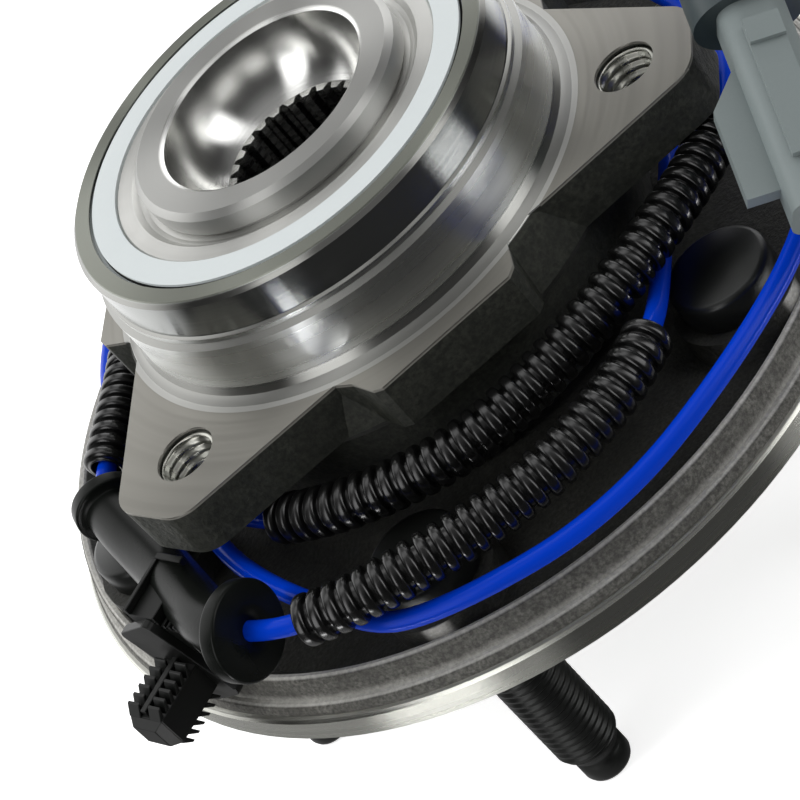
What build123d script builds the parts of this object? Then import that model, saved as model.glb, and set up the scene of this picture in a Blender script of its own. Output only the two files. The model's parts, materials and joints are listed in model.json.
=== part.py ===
"""Front wheel hub bearing: a stationary flanged outer ring, a driven wheel hub turning in it on
two rows of balls, and the wheel-speed sensor with its lead, conduit, clip and connector.

Millimetres. +Z is the hub axis, pointing inboard. The origin is where that axis crosses the face
that the wheel is bolted against.
"""
from math import cos, hypot, radians, sin, tan
import os

from build123d import *

# Wheel flange and wheel studs
WHEEL_FLANGE_R = 79.1
BAND_H = 5.1              # machined cylinder round the flange
FACE_CHAMFER = 0.5
RIM_STEP_R = 78.0         # forged step above the machined band
RIM_STEP_Z = 5.9
OUTER_RIDGE_R = 77.0
OUTER_RIDGE_Z = 7.2
INNER_RIDGE_R = 75.0
INNER_RIDGE_Z = 11.9
RIDGE_WIDTH = 1.3
VALLEY_OUTER_R = 71.9
VALLEY_INNER_R = 51.4
VALLEY_Z = 8.6
NECK_R = 47.3
NECK_Z = 10.5
STUD_COUNT = 6
STUD_PCD = 127.0
STUD_ANGLE = -118.0
STUD_THREAD_R = 5.9
STUD_SHANK_R = 6.45
STUD_HEAD_R = 8.7
STUD_HEAD_H = 6.0
STUD_TIP_R = 4.5
STUD_TIP_H = 4.7
STUD_THREAD_END_Z = -33.5
STUD_TIP_Z = -39.8
STUD_SEAT_Z = 14.0
STUD_BOSS_R = 10.7

# Wheel pilot and drive bore
WHEEL_PILOT_R = 39.0
WHEEL_PILOT_H = 9.0
PILOT_RELIEF_R = 41.5
PILOT_RELIEF_H = 1.2
NUT_RECESS_R = 25.7
NUT_SEAT_Z = 4.1
SPLINE_COUNT = 27
SPLINE_MAJOR_R = 14.0
SPLINE_MINOR_R = 12.6
SPLINE_TOP_Z = 52.5
SPLINE_END_Z = 9.2
BORE_RELIEF_R = 14.6

# Formed head that keeps the inner ring on the spindle
HEAD_R = 24.9
HEAD_H = 4.7              # above the recess that it seats in
HEAD_SEAT_DEPTH = 1.0     # recess in the end of the inner ring
MOUTH_R = 19.1

# Bearing rows
BALL_R = 5.7
BALL_COUNT = 14
PITCH_R = 30.3
RACE_CLEARANCE = 0.05
ROW_INBOARD_Z = 50.3
ROW_OUTBOARD_Z = 22.6
INNER_SHOULDER_R = 30.7
INNER_LOW_R = 26.1
OUTER_SHOULDER_R = 32.8
SPINDLE_SEAT_R = 19.5
INNER_RING_BOTTOM_Z = 39.6
INNER_RING_TOP_Z = 60.9
CAGE_INNER_R = 31.2
CAGE_OUTER_R = 34.6
CAGE_FRONT = 1.6          # reach of the cage past the ball centres
CAGE_BACK = 7.1           # back of the cage ring from the ball centres
POCKET_CLEARANCE = 0.2

# Outer ring: knuckle pilot, mounting flange and barrel
RING_TOP_Z = 61.2
RING_END_CHAMFER = 0.9
KNUCKLE_PILOT_R = 39.6
KNUCKLE_PILOT_BOTTOM_Z = 53.7
STEP_R = 40.1
REGISTER_R = 41.1
REGISTER_TOP_Z = 51.8
ROOT_TOP_Z = 44.2
ROOT_R = 43.4
FLANGE_Z = 40.6
FLANGE_T = 9.2
EDGE_MID_ANGLE = -91.3
EDGE_OUT = 38.7           # straight flange edges, from the axis
PAD_OUT = 48.0            # pad in the middle of each edge
PAD_START = -17.3
PAD_END = 11.2
PAD_SLOPE = 3.5
PAD_ROOT_OUT = 40.7
LOBE_R = 64.6
LOBE_CORNER = 6.2
MOUNT_PCD = 105.4
MOUNT_HOLE_R = 5.25
MOUNT_CHAMFER = 0.9
BARREL_R = 44.2
BARREL_BOTTOM_R = 42.5
BARREL_BOTTOM_Z = 12.3
SEAL_BORE_R = 36.0
SEAL_DEPTH = 3.1

# Seals
SEAL_T = 0.5
SLINGER_DISC_R = 35.3
SLINGER_SLEEVE_T = 0.4
SEAL_GAP = 0.3

# Speed sensor and tone ring
SENSOR_ANGLE = 28.7
SENSOR_Z = 33.9
SENSOR_PROBE_R = 4.5
SENSOR_FIT = 0.06
SENSOR_BOSS_W = 17.5
SENSOR_BOSS_BOTTOM_Z = 27.3
SENSOR_BODY_DEPTH = 12.3
SENSOR_BODY_H = 11.3
SENSOR_EAR_REACH = 17.5
SENSOR_EAR_R = 4.6
SENSOR_EAR_T = 3.0
SENSOR_SCREW_INSET = 4.5  # screw axis from the reach of the ear
SENSOR_SCREW_R = 2.5
SENSOR_SCREW_DEPTH = 7.5
SENSOR_SCREW_HEAD_R = 4.3
SENSOR_SCREW_HEAD_H = 3.2
SENSOR_DRIVE_R = 2.6      # hexagon recess in the screw head
SENSOR_DRIVE_DEPTH = 1.8
SENSOR_GROOVE_Z = -2.2
SENSOR_GROOVE_W = 1.6
SENSOR_GROOVE_DEPTH = 0.9
SENSOR_RING_W = 1.5
SENSOR_AIR_GAP = 0.8
TONE_R = 30.1
TONE_ROOT_R = 28.8
TONE_TEETH = 40
TONE_BOTTOM_Z = 30.4
TONE_TOP_Z = 37.4

# Lead, conduit and grommet
LEAD_R = 1.65
CONDUIT_R = 4.15
SLEEVE_R = 4.7
LEAD_CLEARANCE = 0.1
CONDUIT_BORE_R = 2.1
GROMMET_SMALL_R = 6.5
GROMMET_LARGE_R = 8.4
GROMMET_T = 2.7

# Harness clip
CLIP_ANGLE = -152.3
CLIP_PLATE_DISTANCE = 76.2
CLIP_Z = 16.4             # centre of the push-in stud
CLIP_PLATE_W = 11.6
CLIP_PLATE_L = 19.3
CLIP_PLATE_T = 1.7
CLIP_PLATE_SHIFT = (-1.0, 2.0)
CLIP_TILT = 24.0
SADDLE_START = -5.0       # saddle block, along the clip's face from the stud's centre
SADDLE_MIDDLE = 1.2
SADDLE_END = 5.2
SADDLE_BOTTOM_Z = 20.6
SADDLE_TOP_Z = 29.4
SADDLE_LOW_TOP_Z = 26.6
SADDLE_INNER = 66.8       # reach of the saddle towards the hub axis
SADDLE_LIP_INNER = 65.3
SADDLE_LIP_H = 1.3
SADDLE_FIT = 0.02
CLIP_CORNER = 1.5
TREE_R = 5.0
TREE_CORE_R = 1.6
TREE_L = 12.3
TREE_BARBS = 6
TREE_TIP_L = 2.0          # plain tip past the last barb
TREE_ROOT_L = 1.4

# Connector
CONNECTOR_BASE = (48.6, -74.6, 30.0)
CONNECTOR_AXIS = (0.382, 0.805, 0.454)
CONNECTOR_SIDE = (0.910, -0.244, -0.334)
CONNECTOR_L = 34.0
CONNECTOR_W = 10.5
CONNECTOR_T = 12.0
CONNECTOR_CORNER = 3.6
CONNECTOR_WALL = 1.4
WING_W = 20.8
WING_START = 4.9          # from the mating end
WING_L = 20.7
WING_TAPER = 5.5
WING_T = 3.0
BOOT_R = 8.9
BOOT_L = 13.4
BOOT_TAIL_R = 4.3
BOOT_TAIL_L = 5.1
BOOT_CHAMFER = 2.4
LATCH_W = 5.5
LATCH_T = 1.3
LATCH_L = 22.6
LATCH_GAP = 0.35
LATCH_START = 7.0         # from the mating end
LATCH_TOOTH_L = 4.0
LATCH_TOOTH_H = 1.0
SOCKET_L = 15.3
TERMINAL_W = 0.64
TERMINAL_FIT = 0.02
TERMINAL_PITCH = 4.4
TERMINAL_START = 5.0      # tip of the pins, from the mating end
TERMINAL_END_GAP = 1.0

STUD_CIRCLE_R = STUD_PCD / 2
MOUNT_R = MOUNT_PCD / 2
MOUNT_HOLE_ANGLE = EDGE_MID_ANGLE - 60
EDGES = 3
INNER_RACE_R = BALL_R + RACE_CLEARANCE
FLANGE_BOTTOM_Z = FLANGE_Z - FLANGE_T
HEAD_SEAT_Z = INNER_RING_TOP_Z - HEAD_SEAT_DEPTH
HEAD_TOP_Z = HEAD_SEAT_Z + HEAD_H

# The lead's route from the sensor to the connector, two and three quarter turns round the barrel,
# clear of the stud heads as they turn below it.
LEAD_ROUTE = [
    (52.24, 18.06, 33.9), (57.0, 9.3, 33.4), (61.0, -3.0, 30.4), (61.8, -17.0, 28.0),
    (56.0, -30.8, 26.7), (45.0, -40.9, 27.0), (30.7, -48.8, 28.8), (17.4, -52.6, 28.2),
    (2.2, -54.2, 26.9), (-12.4, -54.6, 26.9), (-26.0, -49.3, 26.9), (-38.2, -41.0, 26.9),
    (-45.9, -29.5, 25.8), (-48.8, -15.8, 22.3), (-48.4, -1.6, 18.6), (-46.6, 12.4, 16.8),
    (-40.9, 25.6, 16.4), (-31.6, 36.5, 16.4), (-19.4, 44.4, 16.4), (-5.2, 48.2, 16.4),
    (9.4, 47.6, 16.4), (23.2, 42.6, 16.4), (35.0, 33.9, 16.4), (43.8, 22.2, 16.6),
    (48.8, 8.6, 17.4), (49.6, -5.8, 18.8), (46.2, -19.2, 20.6), (39.6, -31.6, 21.8),
    (31.6, -42.0, 22.0), (26.0, -50.4, 22.0), (21.2, -58.6, 24.1), (16.0, -63.9, 25.3),
    (5.6, -67.6, 24.9), (-7.0, -69.6, 24.9), (-20.0, -68.4, 25.3), (-33.1, -66.7, 27.0),
    (-44.7, -63.0, 27.7), (-53.0, -57.3, 27.6), (-60.1, -47.2, 27.3), (-61.1, -32.7, 25.8),
    (-62.0, -19.1, 25.2), (-63.2, -6.2, 26.3), (-62.5, 2.2, 27.5), (-57.1, 8.3, 28.5),
    (-48.2, 20.2, 28.4), (-41.0, 33.4, 27.6), (-32.2, 43.8, 26.4), (-21.6, 52.8, 25.2),
    (-8.8, 59.0, 24.4), (5.4, 61.6, 24.2), (20.6, 59.2, 24.0), (35.0, 52.6, 24.0),
    (47.3, 42.3, 24.0), (57.2, 29.6, 24.0), (64.2, 15.3, 24.2), (67.9, 0.2, 24.2),
    (69.6, -15.0, 23.6), (68.4, -30.2, 22.4), (62.8, -44.0, 20.8), (53.6, -55.6, 20.2),
    (43.0, -64.0, 19.7), (31.6, -69.6, 19.4), (18.4, -74.4, 19.3), (4.4, -78.0, 19.3),
    (-9.8, -77.9, 19.3), (-23.3, -73.8, 19.4), (-34.9, -68.7, 19.8), (-40.9, -64.5, 21.2),
    (-45.8, -53.4, 22.3), (-50.4, -39.4, 22.0), (-52.8, -26.1, 22.0), (-52.2, -13.0, 22.0),
    (-52.7, 0.9, 22.0), (-54.6, 14.3, 22.0), (-53.5, 29.1, 22.4), (-47.4, 42.4, 22.8),
    (-38.0, 53.0, 23.6), (-26.9, 61.2, 23.8), (-13.6, 66.4, 23.8), (1.0, 68.9, 23.8),
    (16.0, 68.4, 23.8), (30.5, 64.3, 24.2), (43.6, 56.6, 26.3), (55.4, 46.3, 31.3),
    (64.6, 34.8, 38.6), (71.0, 22.8, 47.0), (74.6, 11.0, 54.6), (75.8, -1.4, 59.6),
    (75.0, -14.0, 60.8), (72.09, -25.09, 57.92), (68.66, -32.32, 53.84),
]
# Runs of the route that each conduit and the sleeve cover, from the middle of the first one to
# the middle of the one after the last.
UPPER_CONDUIT = range(4, 11)
LOWER_CONDUIT = range(30, 36)
SLEEVE_RUNS = range(37, 41)
SHORT_CONDUIT = range(42, 44)


def ring(points):
    """A solid of revolution about the hub axis from (radius, height) points."""
    wire = Polyline(*[(r, 0, z) for r, z in points], close=True)
    return revolve(make_face(wire), Axis.Z, 360)


def washer(outer, inner, bottom, top):
    return ring([(inner, bottom), (outer, bottom), (outer, top), (inner, top)])


def torus_at(height, minor):
    return Pos(0, 0, height) * Torus(PITCH_R, minor)


def polar(radius, angle, height=0.0):
    return (radius * cos(radians(angle)), radius * sin(radians(angle)), height)


def around(solid, radius, angle, count):
    """Copies of a solid on a circle, the first one at the given angle."""
    step = 360 / count
    return [Pos(*polar(radius, angle + step * i)) * solid for i in range(count)]


def write(node, shape):
    """One STEP file per node, holding its solids and nothing else."""
    solids = shape.solids() if hasattr(shape, "solids") else shape
    solids = list(solids)
    body = solids[0] if len(solids) == 1 else Compound(children=solids)
    body.label = node
    export_step(body, f"parts/{node}.step")
    print(node, len(solids), round(sum(s.volume for s in solids), 1))


# ---------------------------------------------------------------- wheel hub, studs, inner ring
def drive_bore():
    """The splined bore, the concave mouth above it and the relief below it, as one cutter."""
    cone_r = SPLINE_MAJOR_R + 0.15
    mid = ((MOUTH_R + cone_r) / 2 + 1.5, (HEAD_TOP_Z + SPLINE_TOP_Z) / 2 - 0.6)
    with BuildPart() as mouth:
        with BuildSketch(Plane.XZ):
            with BuildLine():
                Line((0, SPLINE_TOP_Z), (cone_r, SPLINE_TOP_Z))
                ThreePointArc((cone_r, SPLINE_TOP_Z), mid, (MOUTH_R - 0.3, HEAD_TOP_Z - 0.5))
                Line((MOUTH_R - 0.3, HEAD_TOP_Z - 0.5), (MOUTH_R + 0.6, HEAD_TOP_Z + 0.1))
                Line((MOUTH_R + 0.6, HEAD_TOP_Z + 0.1), (MOUTH_R + 0.6, HEAD_TOP_Z + 1))
                Line((MOUTH_R + 0.6, HEAD_TOP_Z + 1), (0, HEAD_TOP_Z + 1))
                Line((0, HEAD_TOP_Z + 1), (0, SPLINE_TOP_Z))
            make_face()
        revolve(axis=Axis.Z)
    pitch = 360 / SPLINE_COUNT
    outline = []
    for i in range(SPLINE_COUNT):
        for share, r in ((-0.30, SPLINE_MINOR_R), (-0.12, SPLINE_MAJOR_R),
                         (0.12, SPLINE_MAJOR_R), (0.30, SPLINE_MINOR_R)):
            outline.append(polar(r, pitch * (i + share))[:2])
    splines = extrude(Pos(0, 0, SPLINE_END_Z) * make_face(Polyline(*outline, close=True)),
                      SPLINE_TOP_Z - SPLINE_END_Z + 0.01)
    relief = washer(BORE_RELIEF_R, 0, NUT_SEAT_Z - 0.5, SPLINE_END_Z)
    nut = washer(NUT_RECESS_R, 0, -WHEEL_PILOT_H - 1, NUT_SEAT_Z)
    return mouth.part + splines + relief + nut


def wheel_hub():
    """The driven hub: wheel flange, wheel pilot, outboard raceway, spindle and formed head."""
    profile = [
        (5, -WHEEL_PILOT_H),
        (WHEEL_PILOT_R - 2.0, -WHEEL_PILOT_H),
        (WHEEL_PILOT_R, -WHEEL_PILOT_H + 2.5),
        (WHEEL_PILOT_R, PILOT_RELIEF_H),
        (PILOT_RELIEF_R, PILOT_RELIEF_H),
        (PILOT_RELIEF_R, 0),
        (WHEEL_FLANGE_R - FACE_CHAMFER, 0),
        (WHEEL_FLANGE_R, FACE_CHAMFER),
        (WHEEL_FLANGE_R, BAND_H - FACE_CHAMFER),
        (WHEEL_FLANGE_R - FACE_CHAMFER, BAND_H),
        (RIM_STEP_R, BAND_H),
        (RIM_STEP_R, RIM_STEP_Z),
        (OUTER_RIDGE_R + RIDGE_WIDTH / 2, OUTER_RIDGE_Z - 0.4),
        (OUTER_RIDGE_R, OUTER_RIDGE_Z),
        (OUTER_RIDGE_R - RIDGE_WIDTH / 2, OUTER_RIDGE_Z),
        (INNER_RIDGE_R + RIDGE_WIDTH / 2, INNER_RIDGE_Z - 0.5),
        (INNER_RIDGE_R, INNER_RIDGE_Z),
        (INNER_RIDGE_R - RIDGE_WIDTH / 2, INNER_RIDGE_Z - 0.2),
        (VALLEY_OUTER_R, VALLEY_Z),
        (VALLEY_INNER_R, VALLEY_Z),
        (NECK_R, NECK_Z),
        (INNER_SHOULDER_R, NECK_Z),
        (INNER_SHOULDER_R, ROW_OUTBOARD_Z),
        (INNER_LOW_R, ROW_OUTBOARD_Z),
        (INNER_LOW_R, INNER_RING_BOTTOM_Z),
        (SPINDLE_SEAT_R, INNER_RING_BOTTOM_Z),
        (SPINDLE_SEAT_R, HEAD_SEAT_Z),
        (HEAD_R - 0.5, HEAD_SEAT_Z),
        (HEAD_R, HEAD_SEAT_Z + 0.8),
        (HEAD_R, HEAD_TOP_Z - 0.9),
        (HEAD_R - 1.1, HEAD_TOP_Z),
        (5, HEAD_TOP_Z),
    ]
    hub = ring(profile)
    boss = Pos(0, 0, VALLEY_Z / 2) * Cylinder(
        STUD_BOSS_R, STUD_SEAT_Z - VALLEY_Z / 2, align=(Align.CENTER, Align.CENTER, Align.MIN))
    limit = washer(INNER_RIDGE_R, NECK_R, 0.5, STUD_SEAT_Z)
    for b in around(boss, STUD_CIRCLE_R, STUD_ANGLE, STUD_COUNT):
        hub += b & limit
    hub -= torus_at(ROW_OUTBOARD_Z, INNER_RACE_R)
    hub -= drive_bore()
    hole = Cylinder(STUD_SHANK_R, 3 * STUD_SEAT_Z)
    for h in around(hole, STUD_CIRCLE_R, STUD_ANGLE, STUD_COUNT):
        hub -= h
    return hub


def wheel_studs():
    profile = [
        (0, STUD_TIP_Z), (STUD_TIP_R - 0.7, STUD_TIP_Z), (STUD_TIP_R, STUD_TIP_Z + 0.7),
        (STUD_TIP_R, STUD_TIP_Z + STUD_TIP_H), (STUD_THREAD_R, STUD_THREAD_END_Z + 0.6),
        (STUD_THREAD_R, -0.6), (STUD_SHANK_R, 0.4), (STUD_SHANK_R, STUD_SEAT_Z),
        (STUD_HEAD_R, STUD_SEAT_Z), (STUD_HEAD_R, STUD_SEAT_Z + STUD_HEAD_H - 0.7),
        (STUD_HEAD_R - 0.7, STUD_SEAT_Z + STUD_HEAD_H), (0, STUD_SEAT_Z + STUD_HEAD_H),
    ]
    return Compound(children=around(ring(profile), STUD_CIRCLE_R, STUD_ANGLE, STUD_COUNT))


def inner_ring():
    """The inboard inner ring, held on the spindle seat by the formed head."""
    body = ring([
        (SPINDLE_SEAT_R, INNER_RING_BOTTOM_Z), (INNER_LOW_R, INNER_RING_BOTTOM_Z),
        (INNER_LOW_R, ROW_INBOARD_Z), (INNER_SHOULDER_R, ROW_INBOARD_Z),
        (INNER_SHOULDER_R, INNER_RING_TOP_Z - 0.4), (INNER_SHOULDER_R - 0.4, INNER_RING_TOP_Z),
        (HEAD_R + 2.6, INNER_RING_TOP_Z), (HEAD_R + 1.6, HEAD_SEAT_Z + 0.25),
        (HEAD_R + 0.7, HEAD_SEAT_Z), (SPINDLE_SEAT_R, HEAD_SEAT_Z),
    ])
    return body - torus_at(ROW_INBOARD_Z, INNER_RACE_R)


# ---------------------------------------------------------------- outer ring
def flange_outline():
    """Three lobes joined by straight edges, each edge with a raised pad at its middle."""
    half = 360 / EDGES / 2
    corners = []
    reach = LOBE_R / sin(radians(half)) - EDGE_OUT / tan(radians(half))
    for k in range(EDGES):
        mid = EDGE_MID_ANGLE + 2 * half * k
        edge = [
            (-reach, EDGE_OUT),
            (PAD_START - PAD_SLOPE, EDGE_OUT + 0.6), (PAD_START - 1.2, PAD_ROOT_OUT + 1.4),
            (PAD_START + 0.6, PAD_OUT - 1.0), (PAD_START + 2.0, PAD_OUT),
            (PAD_END - 1.2, PAD_OUT), (PAD_END + 0.4, PAD_OUT - 1.4),
            (PAD_END + 2.0, PAD_ROOT_OUT + 1.0), (PAD_END + 4.6, EDGE_OUT + 0.6),
            (reach, EDGE_OUT),
        ]
        for along, out in edge:
            x, y, _ = polar(out, mid)
            dx, dy, _ = polar(along, mid + 90)
            corners.append((x + dx, y + dy))
    return corners


def mounting_flange():
    face = make_face(Polyline(*flange_outline(), close=True))
    plate = extrude(Pos(0, 0, FLANGE_BOTTOM_Z) * face, FLANGE_T)
    upright = plate.edges().filter_by(Axis.Z)
    lobe_edges = [e for e in upright if hypot(e.center().X, e.center().Y) > LOBE_R]
    return fillet(lobe_edges, LOBE_CORNER)


def sensor_frame():
    """Origin on the pad's outer face, +Z pointing out along the sensor's axis."""
    x, y, _ = polar(PAD_OUT, SENSOR_ANGLE)
    return Plane((x, y, SENSOR_Z), x_dir=(0, 0, 1), z_dir=polar(1, SENSOR_ANGLE))


def outer_ring():
    """The stationary ring: knuckle pilot, three-lobed flange, barrel and both outer raceways."""
    body = ring([
        (OUTER_SHOULDER_R, BARREL_BOTTOM_Z), (BARREL_BOTTOM_R - 0.6, BARREL_BOTTOM_Z),
        (BARREL_BOTTOM_R, BARREL_BOTTOM_Z + 0.6), (BARREL_R, FLANGE_BOTTOM_Z - 2.5),
        (BARREL_R + 2.0, FLANGE_BOTTOM_Z + 0.01), (BARREL_R, FLANGE_Z - 1),
        (ROOT_R, FLANGE_Z), (ROOT_R - 1.5, FLANGE_Z + 0.9), (REGISTER_R + 0.1, FLANGE_Z + 2.2),
        (REGISTER_R, ROOT_TOP_Z), (REGISTER_R, REGISTER_TOP_Z),
        (STEP_R, REGISTER_TOP_Z + 0.7), (STEP_R, KNUCKLE_PILOT_BOTTOM_Z - 0.3),
        (KNUCKLE_PILOT_R, KNUCKLE_PILOT_BOTTOM_Z),
        (KNUCKLE_PILOT_R, RING_TOP_Z - RING_END_CHAMFER),
        (KNUCKLE_PILOT_R - RING_END_CHAMFER, RING_TOP_Z), (OUTER_SHOULDER_R, RING_TOP_Z),
    ])
    body += mounting_flange()
    out = sensor_frame()
    boss_h = FLANGE_Z - SENSOR_BOSS_BOTTOM_Z
    boss = Box(boss_h, SENSOR_BOSS_W, PAD_OUT - BARREL_R + 6,
               align=(Align.MIN, Align.CENTER, Align.MAX))
    body += out * Pos(SENSOR_BOSS_BOTTOM_Z - SENSOR_Z, 0, 0) * boss
    body -= washer(OUTER_SHOULDER_R, 0, BARREL_BOTTOM_Z - 1, RING_TOP_Z + 1)
    body -= washer(SEAL_BORE_R, 0, ROW_INBOARD_Z, RING_TOP_Z + 1)
    body -= washer(SEAL_BORE_R, 0, BARREL_BOTTOM_Z - 1, ROW_OUTBOARD_Z)
    for z in (ROW_INBOARD_Z, ROW_OUTBOARD_Z):
        body -= torus_at(z, INNER_RACE_R)
    hole = Cylinder(MOUNT_HOLE_R, 4 * FLANGE_T)
    sink = Pos(0, 0, FLANGE_Z) * Cone(MOUNT_HOLE_R - MOUNT_CHAMFER,
                                      MOUNT_HOLE_R + MOUNT_CHAMFER, 2 * MOUNT_CHAMFER)
    for h in around(Pos(0, 0, FLANGE_Z) * hole, MOUNT_R, MOUNT_HOLE_ANGLE, EDGES):
        body -= h
    for s in around(sink, MOUNT_R, MOUNT_HOLE_ANGLE, EDGES):
        body -= s
    probe_hole = Cylinder(SENSOR_PROBE_R + SENSOR_FIT, PAD_OUT - TONE_R + 2,
                          align=(Align.CENTER, Align.CENTER, Align.MAX))
    body -= out * Pos(0, 0, 1) * probe_hole
    tapped = Cylinder(SENSOR_SCREW_R, SENSOR_SCREW_DEPTH + SENSOR_SCREW_R,
                      align=(Align.CENTER, Align.CENTER, Align.MAX))
    body -= out * Pos(0, SENSOR_SCREW_INSET - SENSOR_EAR_REACH, SENSOR_SCREW_R - 0.5) * tapped
    return body


# ---------------------------------------------------------------- balls, cages and seals
def ball_row(height, start):
    balls = around(Sphere(BALL_R), PITCH_R, start, BALL_COUNT)
    return Compound(children=[Pos(0, 0, height) * b for b in balls])


def cage(height, start, side):
    """A crown cage: one ring behind the balls with a pocket over each ball."""
    low, high = sorted((height - side * CAGE_FRONT, height + side * CAGE_BACK))
    crown = washer(CAGE_OUTER_R, CAGE_INNER_R, low, high)
    pocket = Sphere(BALL_R + POCKET_CLEARANCE)
    for p in around(pocket, PITCH_R, start, BALL_COUNT):
        crown -= Pos(0, 0, height) * p
    return crown


def seal(end_z, side):
    """Slinger, metal case and rubber lip of one seal. side is +1 inboard and -1 outboard."""
    def band(outer, inner, near, far):
        low, high = sorted((end_z - side * near, end_z - side * far))
        return washer(outer, inner, low, high)

    sleeve_r = INNER_SHOULDER_R + SLINGER_SLEEVE_T
    slinger = band(SLINGER_DISC_R, INNER_SHOULDER_R, 0, SEAL_T)
    slinger += band(sleeve_r, INNER_SHOULDER_R, 0, SEAL_DEPTH - SEAL_GAP)
    case = band(SEAL_BORE_R, SEAL_BORE_R - SEAL_T, 1.0, SEAL_DEPTH)
    case += band(SEAL_BORE_R, sleeve_r + 1.0, SEAL_DEPTH - SEAL_T, SEAL_DEPTH)
    lip = band(SEAL_BORE_R - SEAL_T, sleeve_r + 1.0, SEAL_DEPTH - SEAL_T - 0.6, SEAL_DEPTH - SEAL_T)
    lip += band(sleeve_r + 1.9, sleeve_r + 0.12, SEAL_T + SEAL_GAP, SEAL_DEPTH - SEAL_T - 0.6)
    lip += band(sleeve_r + 1.0, sleeve_r + 0.12, SEAL_DEPTH - SEAL_T - 0.6, SEAL_DEPTH - 0.1)
    return slinger, case, lip


# ---------------------------------------------------------------- speed sensor
def tone_ring():
    pitch = 360 / TONE_TEETH
    outline = []
    for i in range(TONE_TEETH):
        for share, r in ((-0.25, TONE_R), (0.25, TONE_R), (0.27, TONE_ROOT_R), (0.73, TONE_ROOT_R)):
            outline.append(polar(r, pitch * (i + share))[:2])
    wheel = extrude(Pos(0, 0, TONE_BOTTOM_Z) * make_face(Polyline(*outline, close=True)),
                    TONE_TOP_Z - TONE_BOTTOM_Z)
    return wheel - washer(INNER_LOW_R, 0, TONE_BOTTOM_Z - 1, TONE_TOP_Z + 1)


def sensor():
    """Moulded sensor body with its probe, fixing ear and lead exit."""
    out = sensor_frame()
    probe_l = PAD_OUT - TONE_R - SENSOR_AIR_GAP
    low = (Align.CENTER, Align.CENTER, Align.MIN)
    body = Box(SENSOR_BODY_H, SENSOR_BOSS_W - 1, SENSOR_BODY_DEPTH, align=low)
    body = fillet(body.edges().filter_by(Axis.Z), 2.0)
    body = Pos(0, 1.0, 0) * body
    at_screw = Pos(0, SENSOR_SCREW_INSET - SENSOR_EAR_REACH, 0)
    ear = at_screw * Cylinder(SENSOR_EAR_R, SENSOR_EAR_T, align=low)
    ear += Pos(0, -SENSOR_EAR_REACH / 2 + 1, 0) * Box(
        2 * SENSOR_EAR_R - 1.2, SENSOR_EAR_REACH - 7, SENSOR_EAR_T, align=low)
    probe = Cylinder(SENSOR_PROBE_R, probe_l, align=(Align.CENTER, Align.CENTER, Align.MAX))
    core_r = SENSOR_PROBE_R - SENSOR_GROOVE_DEPTH
    groove = Cylinder(SENSOR_PROBE_R + 1, SENSOR_GROOVE_W) - Cylinder(core_r, SENSOR_GROOVE_W)
    probe -= Pos(0, 0, SENSOR_GROOVE_Z) * groove
    shape = body + ear + probe
    shape -= at_screw * Cylinder(SENSOR_SCREW_R + 0.2, 3 * SENSOR_EAR_T)
    seal_ring = Pos(0, 0, SENSOR_GROOVE_Z) * (
        Cylinder(SENSOR_PROBE_R + SENSOR_FIT, SENSOR_RING_W) - Cylinder(core_r, SENSOR_RING_W))
    head = Cylinder(SENSOR_SCREW_HEAD_R, SENSOR_SCREW_HEAD_H, align=low)
    head -= Pos(0, 0, SENSOR_SCREW_HEAD_H - SENSOR_DRIVE_DEPTH) * extrude(
        RegularPolygon(SENSOR_DRIVE_R, 6), SENSOR_SCREW_HEAD_H)
    screw = at_screw * Pos(0, 0, SENSOR_EAR_T) * head
    screw += at_screw * Pos(0, 0, -SENSOR_SCREW_DEPTH) * Cylinder(
        SENSOR_SCREW_R, SENSOR_SCREW_DEPTH + SENSOR_EAR_T, align=low)
    return out * shape, out * seal_ring, out * screw


# ---------------------------------------------------------------- lead, conduit and grommet
def corner_radii(points):
    """Each corner's arc: 0.45 of its shorter run over the tangent of half the turn."""
    vectors = [Vector(*p) for p in points]
    radii = []
    for a, b, c in zip(vectors, vectors[1:], vectors[2:]):
        turn = (b - a).get_angle(c - b)
        radii.append(0.45 * min((b - a).length, (c - b).length) / tan(radians(turn / 2)))
    return radii


def route_path(first=None, last=None):
    """The whole route, or the stretch from the middle of one run to the middle of another."""
    points = LEAD_ROUTE
    radii = corner_radii(points)
    if first is None:
        return FilletPolyline(*points, radius=radii)
    middle = [tuple((a + b) / 2 for a, b in zip(points[i], points[i + 1])) for i in (first, last)]
    inner = points[first + 1:last + 1]
    return FilletPolyline(middle[0], *inner, middle[1], radius=radii[first:last])


def tube(path, outer, inner=0.0):
    """A round tube along a path, hollow when it has an inner radius."""
    start = Plane(origin=path @ 0, z_dir=path % 0)
    body = sweep(start * Circle(outer), path=path)
    if inner:
        body -= sweep(start * Circle(inner), path=path)
    return body


def disc_at(run, radius, thickness):
    """A rubber flange square to the lead at the middle of one run."""
    a, b = (Vector(*LEAD_ROUTE[run]), Vector(*LEAD_ROUTE[run + 1]))
    plane = Plane(origin=(a + b) / 2, z_dir=b - a)
    return plane * Cylinder(radius, thickness)


def lead():
    path = route_path()
    radii = corner_radii(LEAD_ROUTE)
    print("lead length", round(path.length, 1), "radii", [round(r) for r in radii])
    return tube(path, LEAD_R)


def grommet():
    """The rubber sleeve that the clip holds, with a flange at each end."""
    first, last = SLEEVE_RUNS.start, SLEEVE_RUNS.stop
    bore = LEAD_R + LEAD_CLEARANCE
    sleeve = tube(route_path(first, last), SLEEVE_R)
    sleeve += disc_at(last, GROMMET_SMALL_R, GROMMET_T)
    sleeve += disc_at(first, GROMMET_LARGE_R, GROMMET_T)
    return sleeve - tube(route_path(first - 1, last + 1), bore)


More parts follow.
